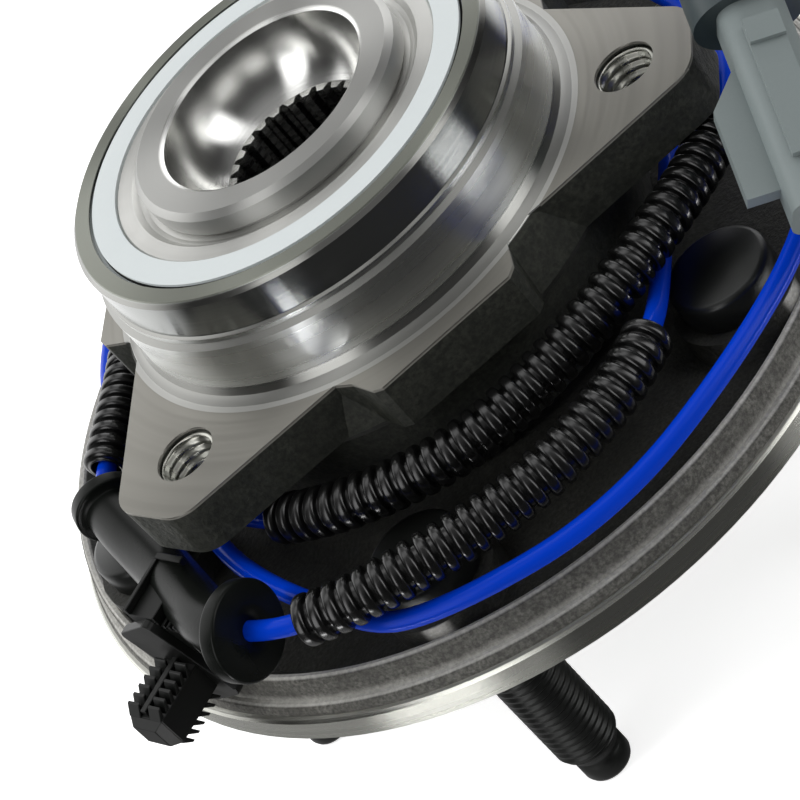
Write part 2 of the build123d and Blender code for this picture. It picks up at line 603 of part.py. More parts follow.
# ---------------------------------------------------------------- harness clip
def harness_clip():
    """A moulded saddle round the sleeve, a base plate and a push-in fir-tree stud."""
    face = Plane(origin=polar(CLIP_PLATE_DISTANCE, CLIP_ANGLE, CLIP_Z),
                 x_dir=polar(1, CLIP_ANGLE + 90), z_dir=polar(1, CLIP_ANGLE))
    low = (Align.CENTER, Align.CENTER, Align.MIN)
    plate = Rot(0, 0, CLIP_TILT) * Box(CLIP_PLATE_W, CLIP_PLATE_L, CLIP_PLATE_T, align=low)
    plate = fillet(plate.edges().filter_by(Axis.Z), CLIP_CORNER)
    plate = Pos(*CLIP_PLATE_SHIFT, 0) * plate

    def block(start, end, top, inner, bottom=SADDLE_BOTTOM_Z):
        corner = (Align.MIN, Align.MIN, Align.MAX)
        return Pos(start, bottom - CLIP_Z, 0) * Box(
            end - start, top - bottom, CLIP_PLATE_DISTANCE - inner, align=corner)

    saddle = block(SADDLE_START, SADDLE_MIDDLE, SADDLE_TOP_Z, SADDLE_INNER)
    saddle += block(SADDLE_MIDDLE, SADDLE_END, SADDLE_LOW_TOP_Z, SADDLE_INNER)
    saddle += block(SADDLE_START, SADDLE_MIDDLE, SADDLE_TOP_Z + SADDLE_LIP_H, SADDLE_LIP_INNER,
                    SADDLE_TOP_Z)
    tree = Pos(0, 0, CLIP_PLATE_T) * Cylinder(TREE_CORE_R, TREE_L, align=low)
    pitch = (TREE_L - TREE_TIP_L) / TREE_BARBS
    for i in range(TREE_BARBS):
        barb = Cone(TREE_R, TREE_CORE_R + 0.6, pitch * 0.8, align=low)
        tree += Pos(0, 0, CLIP_PLATE_T + TREE_ROOT_L + i * pitch) * barb
    shape = face * (plate + saddle + tree)
    sleeve_path = route_path(SLEEVE_RUNS.start, SLEEVE_RUNS.stop)
    return shape - tube(sleeve_path, SLEEVE_R + SADDLE_FIT)


# ---------------------------------------------------------------- connector
def connector_frame():
    """+Z runs up the connector from its mating end, +X to its side."""
    return Plane(origin=CONNECTOR_BASE, x_dir=CONNECTOR_SIDE, z_dir=CONNECTOR_AXIS)


def connector():
    """Two-way sealed connector: shell, latch arm, terminals, wire seal and rear boot."""
    frame = connector_frame()
    low = (Align.CENTER, Align.CENTER, Align.MIN)
    shell = Box(CONNECTOR_W, CONNECTOR_T, CONNECTOR_L, align=low)
    shell = fillet(shell.edges().filter_by(Axis.Z), CONNECTOR_CORNER)
    wing = Pos(0, 0, WING_START) * Box(WING_W, WING_T, WING_L, align=low)
    slope = (WING_W - CONNECTOR_W) / 2
    wing = chamfer(wing.edges().filter_by(Axis.Y).group_by(Axis.Z)[-1], WING_TAPER, slope - 0.5)
    shell += wing
    cavity = Box(CONNECTOR_W - 2 * CONNECTOR_WALL, CONNECTOR_T - 2 * CONNECTOR_WALL, SOCKET_L,
                 align=low)
    cavity = fillet(cavity.edges().filter_by(Axis.Z), CONNECTOR_CORNER - CONNECTOR_WALL)
    shell -= cavity
    channel_w = TERMINAL_W + TERMINAL_FIT
    terminal_l = CONNECTOR_L - TERMINAL_END_GAP - TERMINAL_START
    terminals = []
    for x in (-TERMINAL_PITCH / 2, TERMINAL_PITCH / 2):
        shell -= Pos(x, 0, SOCKET_L - 0.01) * Box(channel_w, channel_w, CONNECTOR_L, align=low)
        terminals.append(Pos(x, 0, TERMINAL_START) * Box(TERMINAL_W, TERMINAL_W, terminal_l,
                                                         align=low))
    boot = Pos(0, 0, CONNECTOR_L) * Cylinder(BOOT_R, BOOT_L, align=low)
    boot = chamfer(boot.edges().filter_by(GeomType.CIRCLE).group_by(Axis.Z)[-1], BOOT_CHAMFER)
    tail = Cylinder(BOOT_TAIL_R, BOOT_TAIL_L, align=low)
    boot += Pos(0, 0, CONNECTOR_L + BOOT_L) * tail
    latch_y = -CONNECTOR_T / 2 - LATCH_GAP
    below = (Align.CENTER, Align.MAX, Align.MIN)
    latch = Pos(0, latch_y, LATCH_START) * Box(LATCH_W, LATCH_T, LATCH_L, align=below)
    latch += Pos(0, latch_y - LATCH_T + 0.01, LATCH_START + LATCH_L - LATCH_TOOTH_L) * Box(
        LATCH_W, LATCH_TOOTH_H, LATCH_TOOTH_L, align=below)
    return (frame * shell, frame * Compound(children=terminals), frame * boot, frame * latch)


def main():
    os.makedirs("parts", exist_ok=True)
    write("wheel_hub", wheel_hub())
    write("wheel_studs", wheel_studs())
    write("inner_ring", inner_ring())
    write("outer_ring", outer_ring())
    half_pitch = 180 / BALL_COUNT
    write("balls_inboard", ball_row(ROW_INBOARD_Z, 0))
    write("cage_inboard", cage(ROW_INBOARD_Z, 0, 1))
    write("balls_outboard", ball_row(ROW_OUTBOARD_Z, half_pitch))
    write("cage_outboard", cage(ROW_OUTBOARD_Z, half_pitch, -1))
    for where, end_z, side in (("inboard", RING_TOP_Z, 1), ("outboard", BARREL_BOTTOM_Z, -1)):
        slinger, case, lip = seal(end_z, side)
        write(f"seal_slinger_{where}", slinger)
        write(f"seal_case_{where}", case)
        write(f"seal_lip_{where}", lip)
    write("tone_ring", tone_ring())
    body, seal_ring, screw = sensor()
    write("sensor_body", body)
    write("sensor_o_ring", seal_ring)
    write("sensor_screw", screw)
    write("sensor_lead", lead())
    for name, runs in (("conduit_short", SHORT_CONDUIT), ("conduit_lower", LOWER_CONDUIT),
                       ("conduit_upper", UPPER_CONDUIT)):
        write(name, tube(route_path(runs.start, runs.stop), CONDUIT_R, CONDUIT_BORE_R))
    write("lead_grommet", grommet())
    write("harness_clip", harness_clip())
    shell, terminals, boot, latch = connector()
    write("connector_body", shell)
    write("connector_terminals", terminals)
    write("connector_boot", boot)
    write("connector_latch", latch)


main()
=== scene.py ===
"""Wheel hub bearing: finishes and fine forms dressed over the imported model, in metres.

The frame is the model's own: +Z is the hub axis pointing inboard, and the wheel face is at z = 0.
Sizes come first, then what builds grids and shader nodes, the finishes, the lead and what it
carries, the harness clip, the studs and threads, and last the floor, light and camera.
"""
import json
import math

import bmesh
import bpy
import numpy as np
from mathutils import Matrix, Vector


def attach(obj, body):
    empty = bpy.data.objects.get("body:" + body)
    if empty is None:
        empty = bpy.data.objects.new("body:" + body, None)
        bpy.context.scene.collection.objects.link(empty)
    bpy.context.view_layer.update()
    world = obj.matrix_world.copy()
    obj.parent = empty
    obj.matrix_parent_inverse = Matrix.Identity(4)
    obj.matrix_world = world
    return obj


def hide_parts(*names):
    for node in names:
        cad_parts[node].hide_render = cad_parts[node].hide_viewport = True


MM = 0.001
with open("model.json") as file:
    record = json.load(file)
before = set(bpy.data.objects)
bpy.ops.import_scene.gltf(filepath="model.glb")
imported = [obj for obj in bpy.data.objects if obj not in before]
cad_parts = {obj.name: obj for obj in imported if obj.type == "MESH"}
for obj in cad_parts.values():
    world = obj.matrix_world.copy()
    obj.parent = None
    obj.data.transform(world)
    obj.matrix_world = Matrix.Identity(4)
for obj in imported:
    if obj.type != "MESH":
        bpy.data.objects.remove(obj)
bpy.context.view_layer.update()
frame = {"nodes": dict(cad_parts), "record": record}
nodes = frame["nodes"]

# ------------------------------------------------------------------ sizes, in millimetres
STUD_CIRCLE_R = 63.5
STUD_ANGLE = -118.0
STUD_COUNT = 6
STUD_THREAD_R = 5.9
STUD_SHANK_R = 6.45
STUD_PITCH = 1.5
STUD_TIP_Z = -39.8
STUD_TIP_R = 4.5
STUD_THREAD_START_Z = -33.5
STUD_THREAD_TOP_Z = -0.6
THREAD_DEPTH = 0.5
STUD_SEAT_Z = 14.0
STUD_HEAD_R = 8.7
STUD_HEAD_H = 6.0
MOUTH_R = 19.1
FLANGE_Z = 40.6
FLANGE_T = 9.2
MOUNT_R = 52.7
MOUNT_ANGLE = -151.3
MOUNT_HOLE_R = 5.25
CLIP_ANGLE = -152.3
CLIP_DISTANCE = 76.2
CLIP_Z = 16.4
CLIP_CORE_X = 3.9
CLIP_CORE_Y = 3.0
CLIP_FIN_REACH = 4.7
CLIP_FIN_ROWS = 6
CLIP_FIN_PITCH = 1.65
CLIP_FIRST_FIN = 3.4
CLIP_PLATE_W = 11.6
CLIP_PLATE_L = 19.3
CLIP_PLATE_T = 1.7
CLIP_PLATE_CORNER = 1.5
CLIP_PLATE_TURN = 24.0
LEAD_R = 1.65
CONDUIT_R = 4.15
CONDUIT_PITCH = 2.65
CONDUIT_GROOVE = 1.2
CONDUIT_WALL = 0.4
SLEEVE_R = 4.7
SLEEVE_BORE_R = 1.72
SLEEVE_DISC_T = 2.7
SLEEVE_LARGE_DISC_R = 8.1
SLEEVE_SMALL_DISC_R = 6.5
TAP_PITCH = 1.75
TAP_THREAD_DEPTH = 0.75
THREAD_ROUND = 48
LINE_STEPS = 24
TANGENT_STEP = 1.5

# Where one finish gives way to the next on the outer ring: each pair is the start and end of a change.
FACE_LINE_Z = (40.3, 40.45)
WALL_FOOT_Z = (40.7, 41.6)
PILOT_FOOT_Z = (53.2, 53.6)
END_LAND_Z = (60.9, 61.1)
# Band of the painted highlight just below the flange face's outer edge.
FLANGE_EDGE_HIGHLIGHT_Z = (40.15, 40.6)
FLANGE_INNER_R = 44.5

# The same on the hub.
HEAD_FOOT_Z = (51.0, 52.4)
SPLINE_FOOT_Z = (4.0, 5.0)
SPLINE_REACH_R = 14.3
FORGED_FOOT_Z = (5.0, 5.3)
FORGED_TOP_Z = 22.0
FORGED_INNER_R = (31.0, 31.5)
RIM_INNER_R = (74.0, 74.6)
# Bands of the painted highlight on the wheel flange's outer and inner ridge crests.
OUTER_CREST_R = (76.4, 77.2)
OUTER_CREST_Z = (6.3, 6.9)
INNER_CREST_R = (74.2, 75.2)
INNER_CREST_Z = (11.0, 11.5)

# The lead's route from the sensor to the connector, the same points as the model's.
LEAD_ROUTE = [
    (52.24, 18.06, 33.9), (57.0, 9.3, 33.4), (61.0, -3.0, 30.4), (61.8, -17.0, 28.0),
    (56.0, -30.8, 26.7), (45.0, -40.9, 27.0), (30.7, -48.8, 28.8), (17.4, -52.6, 28.2),
    (2.2, -54.2, 26.9), (-12.4, -54.6, 26.9), (-26.0, -49.3, 26.9), (-38.2, -41.0, 26.9),
    (-45.9, -29.5, 25.8), (-48.8, -15.8, 22.3), (-48.4, -1.6, 18.6), (-46.6, 12.4, 16.8),
    (-40.9, 25.6, 16.4), (-31.6, 36.5, 16.4), (-19.4, 44.4, 16.4), (-5.2, 48.2, 16.4),
    (9.4, 47.6, 16.4), (23.2, 42.6, 16.4), (35.0, 33.9, 16.4), (43.8, 22.2, 16.6),
    (48.8, 8.6, 17.4), (49.6, -5.8, 18.8), (46.2, -19.2, 20.6), (39.6, -31.6, 21.8),
    (31.6, -42.0, 22.0), (26.0, -50.4, 22.0), (21.2, -58.6, 24.1), (16.0, -63.9, 25.3),
    (5.6, -67.6, 24.9), (-7.0, -69.6, 24.9), (-20.0, -68.4, 25.3), (-33.1, -66.7, 27.0),
    (-44.7, -63.0, 27.7), (-53.0, -57.3, 27.6), (-60.1, -47.2, 27.3), (-61.1, -32.7, 25.8),
    (-62.0, -19.1, 25.2), (-63.2, -6.2, 26.3), (-62.5, 2.2, 27.5), (-57.1, 8.3, 28.5),
    (-48.2, 20.2, 28.4), (-41.0, 33.4, 27.6), (-32.2, 43.8, 26.4), (-21.6, 52.8, 25.2),
    (-8.8, 59.0, 24.4), (5.4, 61.6, 24.2), (20.6, 59.2, 24.0), (35.0, 52.6, 24.0),
    (47.3, 42.3, 24.0), (57.2, 29.6, 24.0), (64.2, 15.3, 24.2), (67.9, 0.2, 24.2),
    (69.6, -15.0, 23.6), (68.4, -30.2, 22.4), (62.8, -44.0, 20.8), (53.6, -55.6, 20.2),
    (43.0, -64.0, 19.7), (31.6, -69.6, 19.4), (18.4, -74.4, 19.3), (4.4, -78.0, 19.3),
    (-9.8, -77.9, 19.3), (-23.3, -73.8, 19.4), (-34.9, -68.7, 19.8), (-40.9, -64.5, 21.2),
    (-45.8, -53.4, 22.3), (-50.4, -39.4, 22.0), (-52.8, -26.1, 22.0), (-52.2, -13.0, 22.0),
    (-52.7, 0.9, 22.0), (-54.6, 14.3, 22.0), (-53.5, 29.1, 22.4), (-47.4, 42.4, 22.8),
    (-38.0, 53.0, 23.6), (-26.9, 61.2, 23.8), (-13.6, 66.4, 23.8), (1.0, 68.9, 23.8),
    (16.0, 68.4, 23.8), (30.5, 64.3, 24.2), (43.6, 56.6, 26.3), (55.4, 46.3, 31.3),
    (64.6, 34.8, 38.6), (71.0, 22.8, 47.0), (74.6, 11.0, 54.6), (75.8, -1.4, 59.6),
    (75.0, -14.0, 60.8), (72.09, -25.09, 57.92), (68.66, -32.32, 53.84),
]
UPPER_CONDUIT = (4, 11)
LOWER_CONDUIT = (30, 36)
SLEEVE_RUNS = (37, 41)
SHORT_CONDUIT = (42, 44)


# ------------------------------------------------------------------ surfaces on grids
def surface(name, points, wrap_u=False, wrap_v=False):
    """A quad mesh over points[u, v]: each cell of the grid is one face, and a wrapped side joins up."""
    rows, columns = points.shape[:2]
    u = np.arange(rows if wrap_u else rows - 1)
    v = np.arange(columns if wrap_v else columns - 1)
    a, b = (grid.ravel() for grid in np.meshgrid(u, v, indexing="ij"))
    a_next, b_next = (a + 1) % rows, (b + 1) % columns
    quads = np.stack([a * columns + b, a_next * columns + b,
                      a_next * columns + b_next, a * columns + b_next], axis=1)
    return faces_mesh(name, points.reshape(-1, 3), quads)


def faces_mesh(name, points, quads):
    """A smooth-shaded mesh object from an array of points and an array of four-cornered faces."""
    mesh = bpy.data.meshes.new(name)
    mesh.vertices.add(len(points))
    mesh.vertices.foreach_set("co", np.asarray(points, np.float32).ravel())
    mesh.loops.add(quads.size)
    mesh.loops.foreach_set("vertex_index", quads.ravel().astype(np.int32))
    mesh.polygons.add(len(quads))
    mesh.polygons.foreach_set("loop_start", np.arange(0, quads.size, 4, dtype=np.int32))
    mesh.polygons.foreach_set("loop_total", np.full(len(quads), 4, np.int32))
    mesh.update(calc_edges=True)
    mesh.validate()
    mesh.shade_smooth()
    piece = bpy.data.objects.new(name, mesh)
    bpy.context.scene.collection.objects.link(piece)
    return piece


def turned(profile, around):
    """Points of a surface of revolution about Z: radius and height of the profile, times the circle."""
    profile = np.asarray(profile, float)
    angle = np.linspace(0, 2 * math.pi, around, endpoint=False)
    x = profile[:, 0, None] * np.cos(angle)
    y = profile[:, 0, None] * np.sin(angle)
    z = np.repeat(profile[:, 1, None], around, axis=1)
    return np.stack([x, y, z], axis=2)


def circle_places(radius, first, count):
    """Centres spaced evenly on a circle about Z, the first at an angle in degrees."""
    angle = np.radians(first + np.arange(count) * 360 / count)
    return np.stack([radius * np.cos(angle), radius * np.sin(angle), np.zeros(count)], axis=1)


def repeated(name, points, places):
    """The same grid, closed along its second side, put down at several places as one mesh."""
    rows, columns = points.shape[:2]
    shells = points[None] + places[:, None, None, :]
    a, b = (g.ravel() for g in np.meshgrid(np.arange(rows - 1), np.arange(columns), indexing="ij"))
    b_next = (b + 1) % columns
    cell = np.stack([a * columns + b, (a + 1) * columns + b,
                     (a + 1) * columns + b_next, a * columns + b_next], axis=1)
    shift = np.arange(len(places))[:, None, None] * rows * columns
    return faces_mesh(name, shells.reshape(-1, 3), (cell[None] + shift).reshape(-1, 4))


def finish_piece(piece, body, material, slot, *replaced):
    """Material, body and the solids that the piece stands for; the slot argument is not used."""
    piece.data.materials.clear()
    piece.data.materials.append(material)
    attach(piece, body)
    if replaced:
        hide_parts(*replaced)
    return piece


# ------------------------------------------------------------------ shader nodes
def add(tree, kind, inputs=None, **settings):
    """One shader node: settings are its own properties, and an input is a number, colour or socket."""
    made = tree.nodes.new("ShaderNode" + kind)
    for key, value in settings.items():
        setattr(made, key, value)
    for key, value in (inputs or {}).items():
        if isinstance(value, bpy.types.NodeSocket):
            tree.links.new(value, made.inputs[key])
        else:
            made.inputs[key].default_value = value
    return made


def math_node(tree, operation, a, b, clamp=False):
    """The result of one arithmetic node on two numbers or sockets."""
    return add(tree, "Math", {0: a, 1: b}, operation=operation, use_clamp=clamp).outputs[0]


def ramp(tree, value, low, high):
    """0 at low and 1 at high, with a smooth change between them; low may be the larger number."""
    return add(tree, "MapRange", {"Value": value, "From Min": low, "From Max": high},
               interpolation_type="SMOOTHSTEP").outputs["Result"]


def between(tree, value, low, high, soft):
    """1 between low and high, falling to 0 over the soft distance outside them."""
    rise = ramp(tree, value, low - soft, low)
    fall = ramp(tree, value, high, high + soft)
    return math_node(tree, "SUBTRACT", rise, fall, clamp=True)


def mixed(tree, factor, a, b):
    """Colour a where the factor is 0 and colour b where it is 1."""
    made = add(tree, "Mix", data_type="RGBA")
    for key, value in ((0, factor), (6, a), (7, b)):
        if isinstance(value, bpy.types.NodeSocket):
            tree.links.new(value, made.inputs[key])
        else:
            made.inputs[key].default_value = value if key == 0 else (*value, 1)
    return made.outputs[2]


def blended(tree, factor, a, b):
    """Number a where the factor is 0 and number b where it is 1."""
    return add(tree, "MapRange", {"Value": factor, "To Min": a, "To Max": b}).outputs["Result"]


def new_group(name, inputs, outputs):
    """A node group with named float inputs and typed outputs, and its input and output nodes."""
    group = bpy.data.node_groups.new(name, "ShaderNodeTree")
    for label, value in inputs.items():
        socket = group.interface.new_socket(label, in_out="INPUT", socket_type="NodeSocketFloat")
        socket.default_value = value
    for label, kind in outputs.items():
        group.interface.new_socket(label, in_out="OUTPUT", socket_type="NodeSocket" + kind)
    return group, group.nodes.new("NodeGroupInput"), group.nodes.new("NodeGroupOutput")


def place_group(tree, group, **values):
    """A copy of a node group in a tree, its inputs set by name to numbers or sockets."""
    made = tree.nodes.new("ShaderNodeGroup")
    made.node_tree = group
    for key, value in values.items():
        label = key.replace("_", " ").capitalize()
        if isinstance(value, bpy.types.NodeSocket):
            tree.links.new(value, made.inputs[label])
        else:
            made.inputs[label].default_value = value
    return made


def axis_group():
    """Where a point lies about the hub axis: radius and height in millimetres, and the turn in radians."""
    group, _, out = new_group("hub_place", {}, {"Radius": "Float", "Height": "Float", "Turn": "Float"})
    coords = add(group, "TexCoord").outputs["Object"]
    parts = add(group, "SeparateXYZ", {0: coords})
    flat = add(group, "CombineXYZ", {"X": parts.outputs["X"], "Y": parts.outputs["Y"]})
    length = add(group, "VectorMath", {0: flat.outputs[0]}, operation="LENGTH").outputs["Value"]
    group.links.new(math_node(group, "DIVIDE", length, MM), out.inputs["Radius"])
    group.links.new(math_node(group, "DIVIDE", parts.outputs["Z"], MM), out.inputs["Height"])
    turn = math_node(group, "ARCTAN2", parts.outputs["Y"], parts.outputs["X"])
    group.links.new(turn, out.inputs["Turn"])
    return group


def forging_group():
    """A shot-blasted forging skin: coarse waves, fine grit and pits as a height, and a dust mask."""
    group, given, out = new_group("forging_skin", {"Grit": 900.0, "Waves": 90.0},
                                  {"Height": "Float", "Dust": "Float"})
    coords = add(group, "TexCoord").outputs["Object"]
    grit = add(group, "TexNoise", {"Vector": coords, "Scale": given.outputs["Grit"], "Detail": 6.0,
                                   "Roughness": 0.65}).outputs["Fac"]
    waves = add(group, "TexNoise", {"Vector": coords, "Scale": given.outputs["Waves"], "Detail": 4.0}
                ).outputs["Fac"]
    pits = add(group, "TexVoronoi", {"Vector": coords, "Scale": given.outputs["Grit"]}
               ).outputs["Distance"]
    total = math_node(group, "ADD", math_node(group, "MULTIPLY", waves, 2.2), grit)
    total = math_node(group, "ADD", total, math_node(group, "MULTIPLY", pits, 0.35))
    group.links.new(total, out.inputs["Height"])
    fine = ramp(group, grit, 0.3, 0.75)
    broad = ramp(group, waves, 0.25, 0.75)
    dust = math_node(group, "MULTIPLY", fine, blended(group, broad, 0.45, 1.0))
    group.links.new(dust, out.inputs["Dust"])
    return group


def turning_group():
    """Lathe marks: fine uneven lines that follow one coordinate, in millimetres, as a height."""
    group, given, out = new_group("turning_marks", {"Along": 0.0, "Density": 4.0},
                                  {"Height": "Float", "Streak": "Float"})
    line = math_node(group, "MULTIPLY", given.outputs["Along"], given.outputs["Density"])
    fine = add(group, "TexNoise", {"W": line, "Scale": 1.0, "Detail": 5.0, "Roughness": 0.7},
               noise_dimensions="1D").outputs["Fac"]
    broad = add(group, "TexNoise", {"W": line, "Scale": 0.13, "Detail": 2.0},
                noise_dimensions="1D").outputs["Fac"]
    group.links.new(fine, out.inputs["Height"])
    group.links.new(ramp(group, broad, 0.35, 0.65), out.inputs["Streak"])
    return group


def speck_group():
    """Handling marks on a smooth face: sparse specks and soft smears."""
    group, given, out = new_group("handling_marks", {"Size": 260.0, "Amount": 0.5},
                                  {"Speck": "Float", "Smear": "Float"})
    coords = add(group, "TexCoord").outputs["Object"]
    speck = add(group, "TexNoise", {"Vector": coords, "Scale": given.outputs["Size"], "Detail": 4.0}
                ).outputs["Fac"]
    low = math_node(group, "SUBTRACT", 0.78, math_node(group, "MULTIPLY", given.outputs["Amount"], 0.2))
    group.links.new(math_node(group, "GREATER_THAN", speck, low), out.inputs["Speck"])
    smear = add(group, "TexNoise", {"Vector": coords, "Scale": 45.0, "Detail": 3.0, "Distortion": 0.8}
                ).outputs["Fac"]
    group.links.new(ramp(group, smear, 0.35, 0.7), out.inputs["Smear"])
    return group


# Soft light strips round the part: heading in degrees, half width in degrees, strength.
ROOM_STRIPS = ((-145, 12, 2.6), (-38, 12, 2.6), (52, 20, 1.8), (124, 28, 1.7))
FLOOR_STRIPS = ((-138, 9, 10.0), (-45, 9, 10.0), (48, 18, 1.2), (136, 26, 1.2))


def strip_group(name, strips):
    """Strips of light at fixed headings on a dark room, which polished metal mirrors.

    Each strip rises smoothly from 1.6 to 0.4 of its half width away from its heading.
    """
    group, given, out = new_group(name, {"X": 0.0, "Y": 0.0}, {"Glow": "Float"})
    flat = add(group, "CombineXYZ", {"X": given.outputs["X"], "Y": given.outputs["Y"]}).outputs[0]
    heading = add(group, "VectorMath", {0: flat}, operation="NORMALIZE").outputs[0]
    glow = 0.015
    for angle, half, strength in strips:
        toward = (math.cos(math.radians(angle)), math.sin(math.radians(angle)), 0)
        dot = add(group, "VectorMath", {0: heading, 1: toward}, operation="DOT_PRODUCT")
        strip = ramp(group, dot.outputs["Value"], math.cos(math.radians(1.6 * half)),
                     math.cos(math.radians(0.4 * half)))
        glow = math_node(group, "ADD", glow, math_node(group, "MULTIPLY", strip, strength))
    group.links.new(glow, out.inputs["Glow"])
    return group


HUB_PLACE = axis_group()
ROOM = strip_group("room_strips", ROOM_STRIPS)
FLOOR = strip_group("floor_strips", FLOOR_STRIPS)
FORGING = forging_group()
TURNING = turning_group()
MARKS = speck_group()


def new_material(name, **constants):
    """A material with one Principled shader, its constants set on the shader's own sockets."""
    material = bpy.data.materials.new(name)
    material.use_nodes = True
    tree = material.node_tree
    shader = tree.nodes["Principled BSDF"]
    for key, value in constants.items():
        shader.inputs[key.replace("_", " ")].default_value = value
    return material, tree, shader


def wire(tree, shader, **sockets):
    """Links each socket to the shader's input of that name."""
    for key, value in sockets.items():
        tree.links.new(value, shader.inputs[key.replace("_", " ")])


def bump(tree, height, strength, distance):
    """The shading normal of a fine relief, its height scaled to a distance in metres."""
    return add(tree, "Bump", {"Height": height, "Strength": strength, "Distance": distance}
               ).outputs["Normal"]


# ------------------------------------------------------------------ materials
def machined(tree, along, density, rough_low, rough_high):
    """Roughness and normal of a lathe-turned face whose marks follow one coordinate."""
    marks = place_group(tree, TURNING, along=along, density=density)
    rough = blended(tree, marks.outputs["Streak"], rough_low, rough_high)
    return rough, marks.outputs["Height"]


def ring_steel():
    """Outer ring: ground pilot, turned root, satin flange face and blasted forging below it."""
    material, tree, shader = new_material("ring_steel", Metallic=1.0, Anisotropic=0.96,
                                          Anisotropic_Rotation=0.25)
    place = place_group(tree, HUB_PLACE)
    radius, height = place.outputs["Radius"], place.outputs["Height"]
    forging = place_group(tree, FORGING, grit=1100.0, waves=260.0)
    marks = place_group(tree, MARKS, size=420.0, amount=0.35)
    face_lines, face_height = machined(tree, radius, 3.0, 0.44, 0.5)
    wall_lines, wall_height = machined(tree, height, 1.6, 0.25, 0.31)
    is_machined = ramp(tree, height, *FACE_LINE_Z)
    is_wall = ramp(tree, height, *WALL_FOOT_Z)
    is_pilot = ramp(tree, height, *PILOT_FOOT_Z)
    is_end = ramp(tree, height, *END_LAND_Z)
    face_colour = mixed(tree, marks.outputs["Smear"], (0.70, 0.70, 0.675), (0.78, 0.78, 0.755))
    wall_colour = mixed(tree, wall_height, (0.62, 0.63, 0.61), (0.74, 0.75, 0.73))
    wall_colour = mixed(tree, is_pilot, wall_colour, (0.36, 0.37, 0.36))
    metal = mixed(tree, is_wall, face_colour, wall_colour)
    metal = mixed(tree, is_end, metal, (0.28, 0.29, 0.255))
    # Painted shade: faces that slope between flat and upright, such as the root cone, chamfers and steps,
    # take a darker colour that tones down their reflection.
    facing = add(tree, "SeparateXYZ", {0: add(tree, "TexCoord").outputs["Normal"]}).outputs["Z"]
    slope_shade = math_node(tree, "MULTIPLY", between(tree, facing, 0.22, 0.98, 0.04),
                       between(tree, height, 40.55, 60.9, 0.04))
    metal = mixed(tree, slope_shade, metal, (0.30, 0.30, 0.285))
    dark = mixed(tree, forging.outputs["Dust"], (0.018, 0.020, 0.016), (0.060, 0.062, 0.050))
    # Painted highlight: a thin lighter band on the forging side, just below the flange face, stands in for
    # light caught on the edge's chamfer.
    edge = between(tree, height, *FLANGE_EDGE_HIGHLIGHT_Z, 0.15)
    outside = math_node(tree, "GREATER_THAN", radius, FLANGE_INNER_R)
    edge = math_node(tree, "MULTIPLY", math_node(tree, "MULTIPLY", edge, outside), 0.9)
    wall_rough = math_node(tree, "MULTIPLY", wall_lines, blended(tree, is_pilot, 1.0, 0.5))
    wall_rough = math_node(tree, "ADD", wall_rough, blended(tree, is_end, 0.0, 0.3))
    turned_rough = math_node(tree, "ADD", math_node(tree, "MULTIPLY", wall_rough, is_wall),
                             math_node(tree, "MULTIPLY", face_lines, blended(tree, is_wall, 1.0, 0.0)))
    rough = math_node(tree, "ADD", math_node(tree, "MULTIPLY", turned_rough, is_machined),
                      blended(tree, is_machined, 0.75, 0.0))
    lines = math_node(tree, "ADD", math_node(tree, "MULTIPLY", wall_height, is_wall),
                      math_node(tree, "MULTIPLY", face_height, 0.5))
    skin = math_node(tree, "MULTIPLY", forging.outputs["Height"], blended(tree, is_machined, 16.0, 0.0))
    surface_height = math_node(tree, "ADD", math_node(tree, "MULTIPLY", lines, is_machined), skin)
    # The edge mask lays the painted highlight's lighter colour over the forging.
    colour = mixed(tree, edge, mixed(tree, is_machined, dark, metal), (0.30, 0.29, 0.26))
    wire(tree, shader, Base_Color=colour, Roughness=rough,
         Metallic=blended(tree, is_machined, 0.2, 1.0),
         Normal=bump(tree, surface_height, 0.5, 0.00002))
    return material


